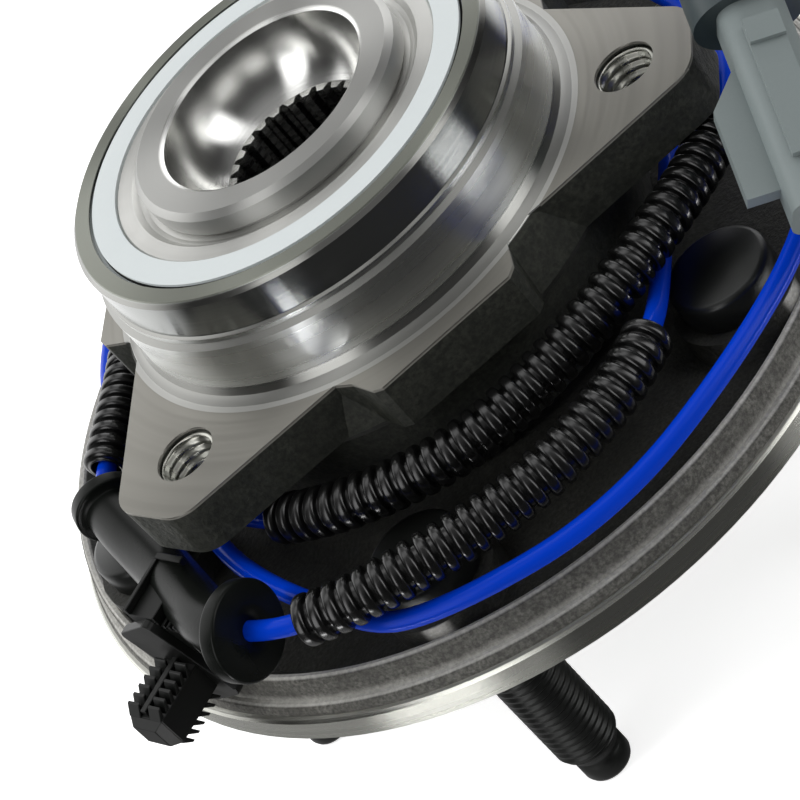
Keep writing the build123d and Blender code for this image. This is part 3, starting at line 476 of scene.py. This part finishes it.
def hub_steel():
    """Hub: chrome-like formed head and mouth, grey splines, dark forged valley, rims lighter than the
    valley, and a painted highlight along the ridge crests.
    """
    material, tree, shader = new_material("hub_steel", Metallic=1.0, Anisotropic=0.9,
                                          Anisotropic_Rotation=0.25)
    place = place_group(tree, HUB_PLACE)
    radius, height = place.outputs["Radius"], place.outputs["Height"]
    forging = place_group(tree, FORGING, grit=1500.0, waves=210.0)
    head_lines, head_height = machined(tree, radius, 1.2, 0.15, 0.24)
    band_lines, band_height = machined(tree, height, 6.0, 0.24, 0.3)
    is_head = ramp(tree, height, *HEAD_FOOT_Z)
    is_spline = math_node(tree, "MULTIPLY", ramp(tree, height, *SPLINE_FOOT_Z),
                          math_node(tree, "LESS_THAN", radius, SPLINE_REACH_R))
    is_spline = math_node(tree, "MULTIPLY", is_spline, math_node(tree, "SUBTRACT", 1.0, is_head))
    # Painted highlight: light bands on the two ridge crests stand in for light caught by their rounded
    # edges, broken up by the forging's grit; the crests are also made smoother.
    crest_outer = math_node(tree, "MULTIPLY", between(tree, radius, *OUTER_CREST_R, 0.3),
                            ramp(tree, height, *OUTER_CREST_Z))
    crest_inner = math_node(tree, "MULTIPLY", between(tree, radius, *INNER_CREST_R, 0.35),
                            ramp(tree, height, *INNER_CREST_Z))
    crest = math_node(tree, "ADD", crest_outer, crest_inner, clamp=True)
    crest_highlight = math_node(tree, "MULTIPLY", crest, blended(tree, forging.outputs["Dust"], 0.6, 1.0))
    is_rim = ramp(tree, radius, *RIM_INNER_R)
    is_flange = math_node(tree, "MULTIPLY", ramp(tree, height, *FORGED_FOOT_Z),
                          math_node(tree, "LESS_THAN", height, FORGED_TOP_Z))
    is_flange = math_node(tree, "MULTIPLY", is_flange, ramp(tree, radius, *FORGED_INNER_R))
    valley = mixed(tree, forging.outputs["Dust"], (0.013, 0.0135, 0.011), (0.046, 0.045, 0.039))
    rim = mixed(tree, forging.outputs["Dust"], (0.075, 0.073, 0.066), (0.27, 0.265, 0.24))
    valley = mixed(tree, is_rim, valley, rim)
    # The crest mask lays the painted highlight's light colour over the valley and rims.
    valley = mixed(tree, crest_highlight, valley, (0.62, 0.61, 0.57))
    metal = mixed(tree, is_spline, (0.62, 0.62, 0.57), (0.16, 0.16, 0.155))
    is_top = math_node(tree, "MULTIPLY", is_head, ramp(tree, radius, MOUTH_R, MOUTH_R + 0.5))
    metal = mixed(tree, is_head, metal, (0.76, 0.76, 0.74))
    metal = mixed(tree, is_top, metal, (0.42, 0.42, 0.405))
    rough = math_node(tree, "ADD", math_node(tree, "MULTIPLY", is_head, head_lines),
                      math_node(tree, "MULTIPLY", blended(tree, is_head, 1.0, 0.0), band_lines))
    rough = math_node(tree, "ADD", math_node(tree, "MULTIPLY", blended(tree, crest_highlight, 0.7, 0.4), is_flange),
                      math_node(tree, "MULTIPLY", rough, math_node(tree, "SUBTRACT", 1.0, is_flange)))
    rough = math_node(tree, "ADD", rough, math_node(tree, "MULTIPLY", is_top, 0.2))
    lines = math_node(tree, "ADD", math_node(tree, "MULTIPLY", head_height, is_head),
                      math_node(tree, "MULTIPLY", band_height, 0.8))
    skin = math_node(tree, "MULTIPLY", forging.outputs["Height"], blended(tree, is_flange, 0.0, 18.0))
    wire(tree, shader, Base_Color=mixed(tree, is_flange, metal, valley), Roughness=rough,
         Metallic=blended(tree, is_flange, 1.0, 0.2),
         Normal=bump(tree, math_node(tree, "ADD", lines, skin), 0.5, 0.00002))
    return material


def turned_steel(name, colour, rough_low, rough_high, along="Radius", density=5.0):
    """Bare lathe-turned metal with faint darker smears."""
    material, tree, shader = new_material(name, Metallic=1.0, Anisotropic=0.9,
                                          Anisotropic_Rotation=0.25)
    place = place_group(tree, HUB_PLACE)
    rough, height = machined(tree, place.outputs[along], density, rough_low, rough_high)
    marks = place_group(tree, MARKS, size=300.0, amount=0.3)
    tint = mixed(tree, marks.outputs["Smear"], colour, tuple(0.88 * c for c in colour))
    wire(tree, shader, Base_Color=tint, Roughness=rough, Normal=bump(tree, height, 0.35, 0.00001))
    return material


def moulded(name, colour, rough, grain=1800.0, depth=0.35, coat=0.0, dust=0.06, metal=0.0,
            shine=0.5):
    """A moulded or coated surface: fine grain, soft smears in gloss, a little dust in the colour."""
    material, tree, shader = new_material(name, Metallic=metal, Coat_Weight=coat,
                                          Specular_IOR_Level=shine)
    skin = place_group(tree, FORGING, grit=grain, waves=grain / 9)
    marks = place_group(tree, MARKS, size=500.0, amount=0.4)
    dusty = tuple(min(1.0, c + dust) for c in colour)
    tint = mixed(tree, math_node(tree, "MULTIPLY", skin.outputs["Dust"], 0.5), colour, dusty)
    gloss = blended(tree, marks.outputs["Smear"], rough * 0.85, rough * 1.2)
    wire(tree, shader, Base_Color=tint, Roughness=gloss,
         Normal=bump(tree, skin.outputs["Height"], depth, 0.00002))
    return material


FINISHES = {
    "ring_steel": ring_steel(),
    "hub_steel": hub_steel(),
    "race_steel": turned_steel("race_steel", (0.66, 0.66, 0.635), 0.34, 0.44),
    "ball_steel": turned_steel("ball_steel", (0.80, 0.80, 0.80), 0.05, 0.08, density=0.5),
    "seal_steel": moulded("seal_steel", (0.73, 0.78, 0.785), 0.5, grain=1200.0, depth=0.08,
                          dust=0.03),
    "tone_steel": turned_steel("tone_steel", (0.35, 0.35, 0.34), 0.35, 0.5, along="Height"),
    "screw_steel": turned_steel("screw_steel", (0.55, 0.55, 0.50), 0.25, 0.4),
    "terminal_metal": turned_steel("terminal_metal", (0.75, 0.62, 0.38), 0.2, 0.3),
    "cage_polymer": moulded("cage_polymer", (0.70, 0.64, 0.46), 0.45),
    "seal_rubber": moulded("seal_rubber", (0.018, 0.018, 0.018), 0.5),
    "sensor_plastic": moulded("sensor_plastic", (0.012, 0.012, 0.013), 0.42, dust=0.02),
    "stud_steel": moulded("stud_steel", (0.012, 0.013, 0.012), 0.36, depth=0.2, dust=0.012, metal=0.4),
    "lead_jacket": moulded("lead_jacket", (0.0001, 0.05, 0.64), 0.22, grain=700.0, depth=0.06,
                           shine=0.15, dust=0.001),
    "conduit_plastic": moulded("conduit_plastic", (0.004, 0.004, 0.004), 0.26, grain=900.0,
                               depth=0.05, coat=0.3, dust=0.004),
    "grommet_rubber": moulded("grommet_rubber", (0.006, 0.007, 0.006), 0.3, dust=0.004, shine=0.15),
    "clip_plastic": moulded("clip_plastic", (0.0045, 0.005, 0.0045), 0.45, dust=0.004, shine=0.25),
    "connector_plastic": moulded("connector_plastic", (0.245, 0.285, 0.285), 0.42, depth=0.2, dust=0.02),
    "boot_rubber": moulded("boot_rubber", (0.036, 0.052, 0.056), 0.4, depth=0.2, dust=0.012),
}


def dress_model():
    """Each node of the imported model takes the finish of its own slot."""
    for entry in frame["record"]["subparts"]:
        mesh = nodes[entry["node"]].data
        mesh.materials.clear()
        mesh.materials.append(FINISHES[entry["material_slot"]])


# ------------------------------------------------------------------ lead and conduits
def lead_spline(name, thickness, steps):
    """The lead's centre line as one smooth spline over the route's points."""
    curve = bpy.data.curves.new(name, "CURVE")
    curve.dimensions = "3D"
    curve.resolution_u = curve.render_resolution_u = steps
    curve.bevel_depth = thickness
    curve.bevel_resolution = 6
    curve.use_fill_caps = True
    spline = curve.splines.new("NURBS")
    spline.points.add(len(LEAD_ROUTE) - 1)
    for point, place in zip(spline.points, LEAD_ROUTE):
        point.co = (*(c * MM for c in place), 1)
    spline.order_u = 3
    spline.use_endpoint_u = True
    piece = bpy.data.objects.new(name, curve)
    bpy.context.scene.collection.objects.link(piece)
    return piece


def centre_line():
    """Points along the lead's own spline, read from it with no thickness."""
    bare = lead_spline("bare_line", 0.0, LINE_STEPS)
    mesh = bpy.data.meshes.new_from_object(bare)
    points = np.empty(len(mesh.vertices) * 3)
    mesh.vertices.foreach_get("co", points)
    bpy.data.objects.remove(bare)
    bpy.data.meshes.remove(mesh)
    return points.reshape(-1, 3)


class Stretch:
    """Part of the centre line, from the middle of one run to the middle of another, by length."""

    def __init__(self, line, first, last):
        share = (len(line) - 1) / (len(LEAD_ROUTE) - 2)
        self.points = line[round(first * share):round(last * share) + 1]
        steps = np.linalg.norm(np.diff(self.points, axis=0), axis=1)
        self.along = np.concatenate([[0], np.cumsum(steps)])
        self.length = self.along[-1]

    def at(self, distance):
        """Centres and two crosswise directions at distances along the stretch."""
        def centre(s):
            return np.stack([np.interp(s, self.along, self.points[:, i]) for i in range(3)], axis=1)

        step = TANGENT_STEP * MM
        low, high = np.clip(distance - step, 0, self.length), np.clip(distance + step, 0, self.length)
        tangent = centre(high) - centre(low)
        tangent /= np.linalg.norm(tangent, axis=1, keepdims=True)
        side = np.cross(tangent, (0, 0, 1))
        side /= np.linalg.norm(side, axis=1, keepdims=True)
        return centre(distance), side, np.cross(side, tangent)


def tube_grid(stretch, distance, radius, around):
    """A circle of the given radius at each distance along the stretch, square to it."""
    centre, side, up = stretch.at(distance)
    angle = np.linspace(0, 2 * math.pi, around, endpoint=False)
    across = (side[:, None] * np.cos(angle)[None, :, None] + up[:, None] * np.sin(angle)[None, :, None])
    return centre[:, None] + radius[:, None, None] * across


def face_out(piece):
    """Turns a closed surface's faces outwards, after its doubled points are merged."""
    shell = bmesh.new()
    shell.from_mesh(piece.data)
    bmesh.ops.remove_doubles(shell, verts=shell.verts, dist=1e-6)
    bmesh.ops.dissolve_degenerate(shell, edges=shell.edges, dist=1e-7)
    if shell.calc_volume(signed=True) < 0:
        bmesh.ops.reverse_faces(shell, faces=shell.faces)
    for face in shell.faces:
        face.smooth = True
    shell.to_mesh(piece.data)
    shell.free()
    return piece


def corrugated(name, line, runs):
    """A corrugated tube: in each pitch a rib, (1 - |2q - 1|^4)^(1/2), between two flat grooves."""
    stretch = Stretch(line, *runs)
    rounds = round(stretch.length / (CONDUIT_PITCH * MM))
    part = np.array([0.03, 0.09, 0.12, 0.135, 0.16, 0.21, 0.3, 0.4, 0.5, 0.6, 0.7, 0.79, 0.84,
                     0.865, 0.88, 0.91, 0.97])
    barrel = np.sqrt(1 - np.abs(2 * np.clip((part - 0.12) / 0.76, 0, 1) - 1) ** 4)
    distance = ((np.arange(rounds)[:, None] + part) / rounds).ravel() * stretch.length
    outer = (CONDUIT_R - CONDUIT_GROOVE * (1 - np.tile(barrel, rounds))) * MM
    back = np.linspace(distance[-1], distance[0], 2 * rounds)
    inner = np.full(len(back), (CONDUIT_R - CONDUIT_GROOVE - CONDUIT_WALL) * MM)
    points = np.concatenate([tube_grid(stretch, distance, outer, 44),
                             tube_grid(stretch, back, inner, 44)])
    return face_out(surface(name, points, wrap_u=True, wrap_v=True))


def rubber_sleeve(line):
    """The clip's rubber sleeve with a rounded flange at each end, turned along the lead."""
    first, last = SLEEVE_RUNS
    stretch = Stretch(line, first - 0.2, last + 0.2)
    middle_first = Stretch(line, first - 0.2, first).length
    middle_last = stretch.length - Stretch(line, last, last + 0.2).length
    distance, radius = [], []

    def disc(centre, size):
        """Profile across a flange: the sleeve, a rim rounded by quarter circles, the sleeve again."""
        turn = np.linspace(-math.pi / 2, math.pi / 2, 9)
        half = SLEEVE_DISC_T / 2
        rim_s = np.concatenate([[-half - 0.05], -half + 0.5 + 0.5 * np.sin(turn[:5]),
                                half - 0.5 + 0.5 * np.sin(turn[4:]), [half + 0.05]])
        rim_r = np.concatenate([[SLEEVE_R], size - 0.5 + 0.5 * np.cos(turn[:5]),
                                size - 0.5 + 0.5 * np.cos(turn[4:]), [SLEEVE_R]])
        distance.extend(centre + rim_s * MM)
        radius.extend(rim_r * MM)

    disc(middle_first, SLEEVE_LARGE_DISC_R)
    body = np.linspace(middle_first + 2.0 * MM, middle_last - 2.0 * MM, 40)
    distance.extend(body)
    radius.extend(np.full(len(body), SLEEVE_R * MM))
    disc(middle_last, SLEEVE_SMALL_DISC_R)
    distance, radius = np.array(distance), np.array(radius)
    bore = np.full(2, SLEEVE_BORE_R * MM)
    ends = np.array([distance[-1], distance[0]])
    points = np.concatenate([tube_grid(stretch, distance, radius, 64),
                             tube_grid(stretch, ends, bore, 64)])
    return face_out(surface("lead_grommet_form", points, wrap_u=True, wrap_v=True))


# ------------------------------------------------------------------ harness clip
def block(x, y, z, end=1.0):
    """Corners of a straight block between three pairs of limits; the far z end may be drawn in."""
    return [(i * size, j * size, k) for k, size in zip(z, (1.0, end)) for i in x for j in y]


def rounded_plate(width, length, corner, low, high, turn, shift):
    """Outline points of a plate with round corners, turned and moved in its own plane."""
    around = np.radians(np.arange(0, 360, 15) + 7.5)
    x = np.sign(np.cos(around)) * (width / 2 - corner) + corner * np.cos(around)
    y = np.sign(np.sin(around)) * (length / 2 - corner) + corner * np.sin(around)
    c, s = math.cos(math.radians(turn)), math.sin(math.radians(turn))
    flat = np.stack([c * x - s * y + shift[0], s * x + c * y + shift[1]], axis=1)
    return [(i, j, k) for k in (low, high) for i, j in flat]


def clip_fin(x, side, root):
    """A thin fin of the push-in stud: it slopes back from the core to a narrow edge."""
    outline = ((CLIP_CORE_Y - 0.1, root - 0.1), (CLIP_FIN_REACH, root - 0.9),
               (CLIP_FIN_REACH, root - 0.4), (CLIP_CORE_Y - 0.1, root + 1.0))
    return [(i, side * j, k) for i in x for j, k in outline]


def harness_clip_form():
    """Saddle, plate and push-in stud, each a convex solid in a frame that looks out from the axis."""
    clouds = [rounded_plate(CLIP_PLATE_W, CLIP_PLATE_L, CLIP_PLATE_CORNER, 0, CLIP_PLATE_T,
                            CLIP_PLATE_TURN, (-1.0, 2.0)),
              block((-5.0, 1.2), (4.2, 13.0), (-9.4, 0.2)),
              block((1.2, 5.2), (4.2, 10.2), (-9.4, 0.2)),
              block((-5.0, 1.2), (13.0, 14.3), (-10.9, -9.7)),
              block((-5.0, -4.2), (13.0, 14.3), (-9.7, 0.2)),
              block((-CLIP_CORE_X, CLIP_CORE_X), (-CLIP_CORE_Y, CLIP_CORE_Y), (1.6, 12.4)),
              block((-CLIP_CORE_X, CLIP_CORE_X), (-CLIP_CORE_Y, CLIP_CORE_Y), (12.4, 14.0), 0.7),
              block((-0.6, 0.6), (-4.3, 4.3), (1.6, 12.0))]
    clouds += [block((start, start + 0.6), (10.2, 11.2), (-9.0, 0.2)) for start in (1.6, 2.9, 4.2)]
    clouds += [clip_fin(x, side, CLIP_FIRST_FIN + CLIP_FIN_PITCH * row)
               for row in range(CLIP_FIN_ROWS) for side in (-1, 1)
               for x in ((-CLIP_CORE_X, -1.1), (1.1, CLIP_CORE_X))]
    shell = bmesh.new()
    for cloud in clouds:
        corners = [shell.verts.new(c * MM for c in corner) for corner in cloud]
        bmesh.ops.convex_hull(shell, input=corners)
    bmesh.ops.dissolve_limit(shell, angle_limit=0.02, verts=shell.verts, edges=shell.edges)
    sharp = [edge for edge in shell.edges if edge.calc_face_angle(0.0) > 0.6]
    bmesh.ops.bevel(shell, geom=sharp, offset=0.12 * MM, segments=1, affect="EDGES",
                    clamp_overlap=True)
    bmesh.ops.recalc_face_normals(shell, faces=shell.faces)
    angle = math.radians(CLIP_ANGLE)
    out = Vector((math.cos(angle), math.sin(angle), 0))
    across = Vector((-out.y, out.x, 0))
    place = Matrix([(across[i], float(i == 2), out[i]) for i in range(3)]).to_4x4()
    place = Matrix.Translation((out * CLIP_DISTANCE + Vector((0, 0, CLIP_Z))) * MM) @ place
    bmesh.ops.transform(shell, matrix=place, verts=shell.verts)
    mesh = bpy.data.meshes.new("harness_clip_form")
    shell.to_mesh(mesh)
    shell.free()
    piece = bpy.data.objects.new("harness_clip_form", mesh)
    bpy.context.scene.collection.objects.link(piece)
    return piece


# ------------------------------------------------------------------ studs and threads
def thread_crest(turns):
    """Rounded thread form from 0 in the root to 1 on the crest, once per turn."""
    part = np.abs((turns % 1.0) - 0.5) * 2
    return np.clip((1 - part) * 1.35, 0, 1)


def studs():
    """Six wheel studs: dog point, threaded shank, plain shank and round head, each a solid of turning."""
    angle = np.linspace(0, 2 * math.pi, THREAD_ROUND, endpoint=False)
    tip = [(0, STUD_TIP_Z), (STUD_TIP_R - 0.9, STUD_TIP_Z), (STUD_TIP_R - 0.25, STUD_TIP_Z + 0.35),
           (STUD_TIP_R, STUD_TIP_Z + 1.0), (STUD_TIP_R, STUD_THREAD_START_Z - 1.9),
           (STUD_TIP_R - 0.35, STUD_THREAD_START_Z - 1.5), (STUD_TIP_R + 0.2, STUD_THREAD_START_Z - 0.6)]
    head_top = STUD_SEAT_Z + STUD_HEAD_H
    shank = [(STUD_THREAD_R - 0.2, 0.1), (STUD_SHANK_R, 0.6), (STUD_SHANK_R, STUD_SEAT_Z - 0.02),
             (STUD_HEAD_R - 0.5, STUD_SEAT_Z), (STUD_HEAD_R, STUD_SEAT_Z + 0.5),
             (STUD_HEAD_R, head_top - 1.1), (STUD_HEAD_R - 0.25, head_top - 0.4),
             (STUD_HEAD_R - 1.0, head_top), (0, head_top)]
    z = np.arange(STUD_THREAD_START_Z, STUD_THREAD_TOP_Z, STUD_PITCH / 9)
    crest = thread_crest(z[:, None] / STUD_PITCH - angle[None] / (2 * math.pi))
    fade = np.clip((z - STUD_THREAD_START_Z) / 1.6, 0, 1)[:, None]
    full = STUD_THREAD_R - THREAD_DEPTH + THREAD_DEPTH * crest
    thread = np.minimum(full, STUD_TIP_R + 0.2 + fade * (STUD_THREAD_R - STUD_TIP_R - 0.2))

    threaded = np.stack([thread * np.cos(angle), thread * np.sin(angle),
                         np.repeat(z[:, None], THREAD_ROUND, axis=1)], axis=2)
    points = np.concatenate([turned(tip, THREAD_ROUND), threaded, turned(shank, THREAD_ROUND)]) * MM
    places = circle_places(STUD_CIRCLE_R * MM, STUD_ANGLE, STUD_COUNT)
    return face_out(repeated("wheel_studs_threaded", points, places))


def tapped_threads():
    """The thread inside each flange hole: a thin sleeve whose inner wall follows the helix."""
    angle = np.linspace(0, 2 * math.pi, THREAD_ROUND, endpoint=False)
    low, high = FLANGE_Z - FLANGE_T + 0.1, FLANGE_Z - 0.85
    z = np.arange(low, high, STUD_PITCH / 9)
    crest = thread_crest(z[:, None] / TAP_PITCH - angle[None] / (2 * math.pi))
    inner = MOUNT_HOLE_R - 0.12 - TAP_THREAD_DEPTH * crest
    wall = np.stack([inner * np.cos(angle), inner * np.sin(angle),
                     np.repeat(z[:, None], THREAD_ROUND, axis=1)], axis=2)
    back = turned([(MOUNT_HOLE_R - 0.02, high), (MOUNT_HOLE_R - 0.02, low)], THREAD_ROUND)
    points = np.concatenate([wall, back, wall[:1]]) * MM
    places = circle_places(MOUNT_R * MM, MOUNT_ANGLE, 3)
    return face_out(repeated("tapped_hole_threads", points, places))


# ------------------------------------------------------------------ floor, light and camera
FLOOR_Z = STUD_TIP_Z - 0.1
DULL_LIGHT = 0.32
PAPER_GLOW = 0.74


def world_light():
    """White behind everything; polished metal mirrors the strips, and dull faces get an even light."""
    world = bpy.data.worlds.new("studio")
    bpy.context.scene.world = world
    world.use_nodes = True
    tree = world.node_tree
    back = tree.nodes["Background"]
    direction = add(tree, "TexCoord").outputs["Generated"]
    parts = add(tree, "SeparateXYZ", {0: direction}).outputs
    strips = place_group(tree, ROOM, X=parts["X"], Y=parts["Y"]).outputs["Glow"]
    overhead = ramp(tree, parts["Z"], 0.5, 0.95)
    glossy = math_node(tree, "ADD", math_node(tree, "MULTIPLY", strips, blended(tree, overhead, 1.0, 0.2)),
                       blended(tree, overhead, 0.02, 0.3))
    softbox = math_node(tree, "MULTIPLY", ramp(tree, parts["Z"], 0.86, 0.93),
                        ramp(tree, parts["Y"], -0.1, 0.1))
    glossy = math_node(tree, "ADD", glossy, softbox)
    path = add(tree, "LightPath").outputs
    level = blended(tree, path["Is Glossy Ray"], DULL_LIGHT, 0.0)
    level = math_node(tree, "ADD", level, math_node(tree, "MULTIPLY", path["Is Glossy Ray"], glossy))
    seen = math_node(tree, "MAXIMUM", path["Is Camera Ray"], path["Is Transmission Ray"])
    level = math_node(tree, "MAXIMUM", level, seen)
    tree.links.new(level, back.inputs["Strength"])
    back.inputs["Color"].default_value = (1, 1, 1, 1)


def floor_material():
    """White paper with its shadows; metal mirrors it as the strips and dark cards laid round it."""
    material, tree, shader = new_material("white_paper", Roughness=0.9)
    path = add(tree, "LightPath").outputs
    coords = add(tree, "TexCoord").outputs["Object"]
    parts = add(tree, "SeparateXYZ", {0: coords}).outputs
    strips = place_group(tree, FLOOR, X=parts["X"], Y=parts["Y"]).outputs["Glow"]
    flat = add(tree, "CombineXYZ", {"X": parts["X"], "Y": parts["Y"]}).outputs[0]
    reach = add(tree, "VectorMath", {0: flat}, operation="LENGTH").outputs["Value"]
    front = ramp(tree, parts["Y"], 0.02, -0.02)
    card = math_node(tree, "MULTIPLY", front, ramp(tree, reach, 0.160, 0.166))
    strips = math_node(tree, "MULTIPLY", strips, blended(tree, card, 1.0, 0.01))
    aside = ramp(tree, math_node(tree, "DIVIDE", parts["Y"], reach), -0.94, -0.88)
    close = ramp(tree, reach, 0.15, 0.138)
    strips = math_node(tree, "ADD",
                       math_node(tree, "MULTIPLY", strips, blended(tree, close, 1.0, 0.0)),
                       math_node(tree, "MULTIPLY", close, blended(tree, aside, 0.03, 0.36)))
    grain = add(tree, "TexNoise", {"Vector": coords, "Scale": 60.0, "Detail": 2.0}).outputs["Fac"]
    tone = math_node(tree, "MULTIPLY", blended(tree, grain, 0.86, 0.9),
                     blended(tree, path["Is Glossy Ray"], 1.0, 0.03))
    tree.links.new(add(tree, "CombineColor", {0: tone, 1: tone, 2: tone}).outputs[0],
                   shader.inputs["Base Color"])
    shader.inputs["Emission Color"].default_value = (1, 1, 1, 1)
    glow = math_node(tree, "MULTIPLY", path["Is Glossy Ray"], strips)
    glow = math_node(tree, "ADD", glow, math_node(tree, "MULTIPLY", path["Is Camera Ray"], PAPER_GLOW))
    tree.links.new(glow, shader.inputs["Emission Strength"])
    return material


def soft_lamp(name, place, target, size, power):
    """A white rectangular lamp at a place, turned to a target, that metal doesn't mirror."""
    lamp = bpy.data.lights.new(name, "AREA")
    lamp.shape = "RECTANGLE"
    lamp.size, lamp.size_y = size
    lamp.energy = power
    holder = bpy.data.objects.new(name, lamp)
    bpy.context.scene.collection.objects.link(holder)
    away = np.asarray(place, float) - np.asarray(target, float)
    away /= np.linalg.norm(away)
    side = np.cross((0, 0, 1), away)
    side /= np.linalg.norm(side)
    up = np.cross(away, side)
    turn = Matrix([(*row, 0) for row in np.stack([side, up, away], axis=1)] + [(0, 0, 0, 1)])
    holder.matrix_world = Matrix.Translation(place) @ turn
    holder.visible_glossy = False


CAMERA_PLACE = (-0.01562, -0.41347, 0.30414)
CAMERA_PITCH = 36.17
CAMERA_ROLL = 42.18


def camera():
    """The view: from the -Y side, pitched down onto the hub face and rolled clockwise."""
    pitch, roll = math.radians(CAMERA_PITCH), math.radians(CAMERA_ROLL)
    level_right, level_up = np.array([1, 0, 0]), np.array([0, math.sin(pitch), math.cos(pitch)])
    ahead = np.array([0, math.cos(pitch), -math.sin(pitch)])
    right = math.cos(roll) * level_right - math.sin(roll) * level_up
    up = math.sin(roll) * level_right + math.cos(roll) * level_up
    turn = Matrix([(*row, 0) for row in np.stack([right, up, -ahead], axis=1)] + [(0, 0, 0, 1)])
    data = bpy.data.cameras.new("camera")
    data.lens = 135
    data.sensor_width = 36
    data.clip_start = 0.01
    holder = bpy.data.objects.new("camera", data)
    bpy.context.scene.collection.objects.link(holder)
    holder.matrix_world = Matrix.Translation(CAMERA_PLACE) @ turn
    bpy.context.scene.camera = holder


def stage():
    """White floor, three lamps and the world's light."""
    floor = surface("paper_floor", np.array([[[x, y, FLOOR_Z * MM] for y in (-3, 3)] for x in (-3, 3)],
                                            float))
    floor.data.materials.append(floor_material())
    soft_lamp("key", (-0.75, 0.1, 0.9), (0, 0, 0.02), (0.8, 0.6), 7.5)
    soft_lamp("fill", (0.9, -0.5, 0.6), (0, 0, 0.02), (0.6, 0.8), 2.5)
    soft_lamp("back", (0.3, 0.9, 0.8), (0, 0, 0.03), (0.9, 0.5), 3.5)
    world_light()
    bpy.context.scene.view_settings.view_transform = "Standard"


# ------------------------------------------------------------------ putting it together
camera()
dress_model()
LEAD_LINE = centre_line()
lead = lead_spline("sensor_lead_cord", LEAD_R * MM, 6)
finish_piece(lead, "outer_ring", FINISHES["lead_jacket"], "lead_jacket", "sensor_lead")
for conduit, runs in (("conduit_short", SHORT_CONDUIT), ("conduit_lower", LOWER_CONDUIT),
                      ("conduit_upper", UPPER_CONDUIT)):
    finish_piece(corrugated(conduit + "_ribbed", LEAD_LINE, runs), "outer_ring",
                 FINISHES["conduit_plastic"], "conduit_plastic", conduit)
finish_piece(rubber_sleeve(LEAD_LINE), "outer_ring", FINISHES["grommet_rubber"], "grommet_rubber",
             "lead_grommet")
finish_piece(harness_clip_form(), "outer_ring", FINISHES["clip_plastic"], "clip_plastic", "harness_clip")
finish_piece(studs(), "hub", FINISHES["stud_steel"], "stud_steel", "wheel_studs")
finish_piece(tapped_threads(), "outer_ring", FINISHES["screw_steel"], "screw_steel")
stage()
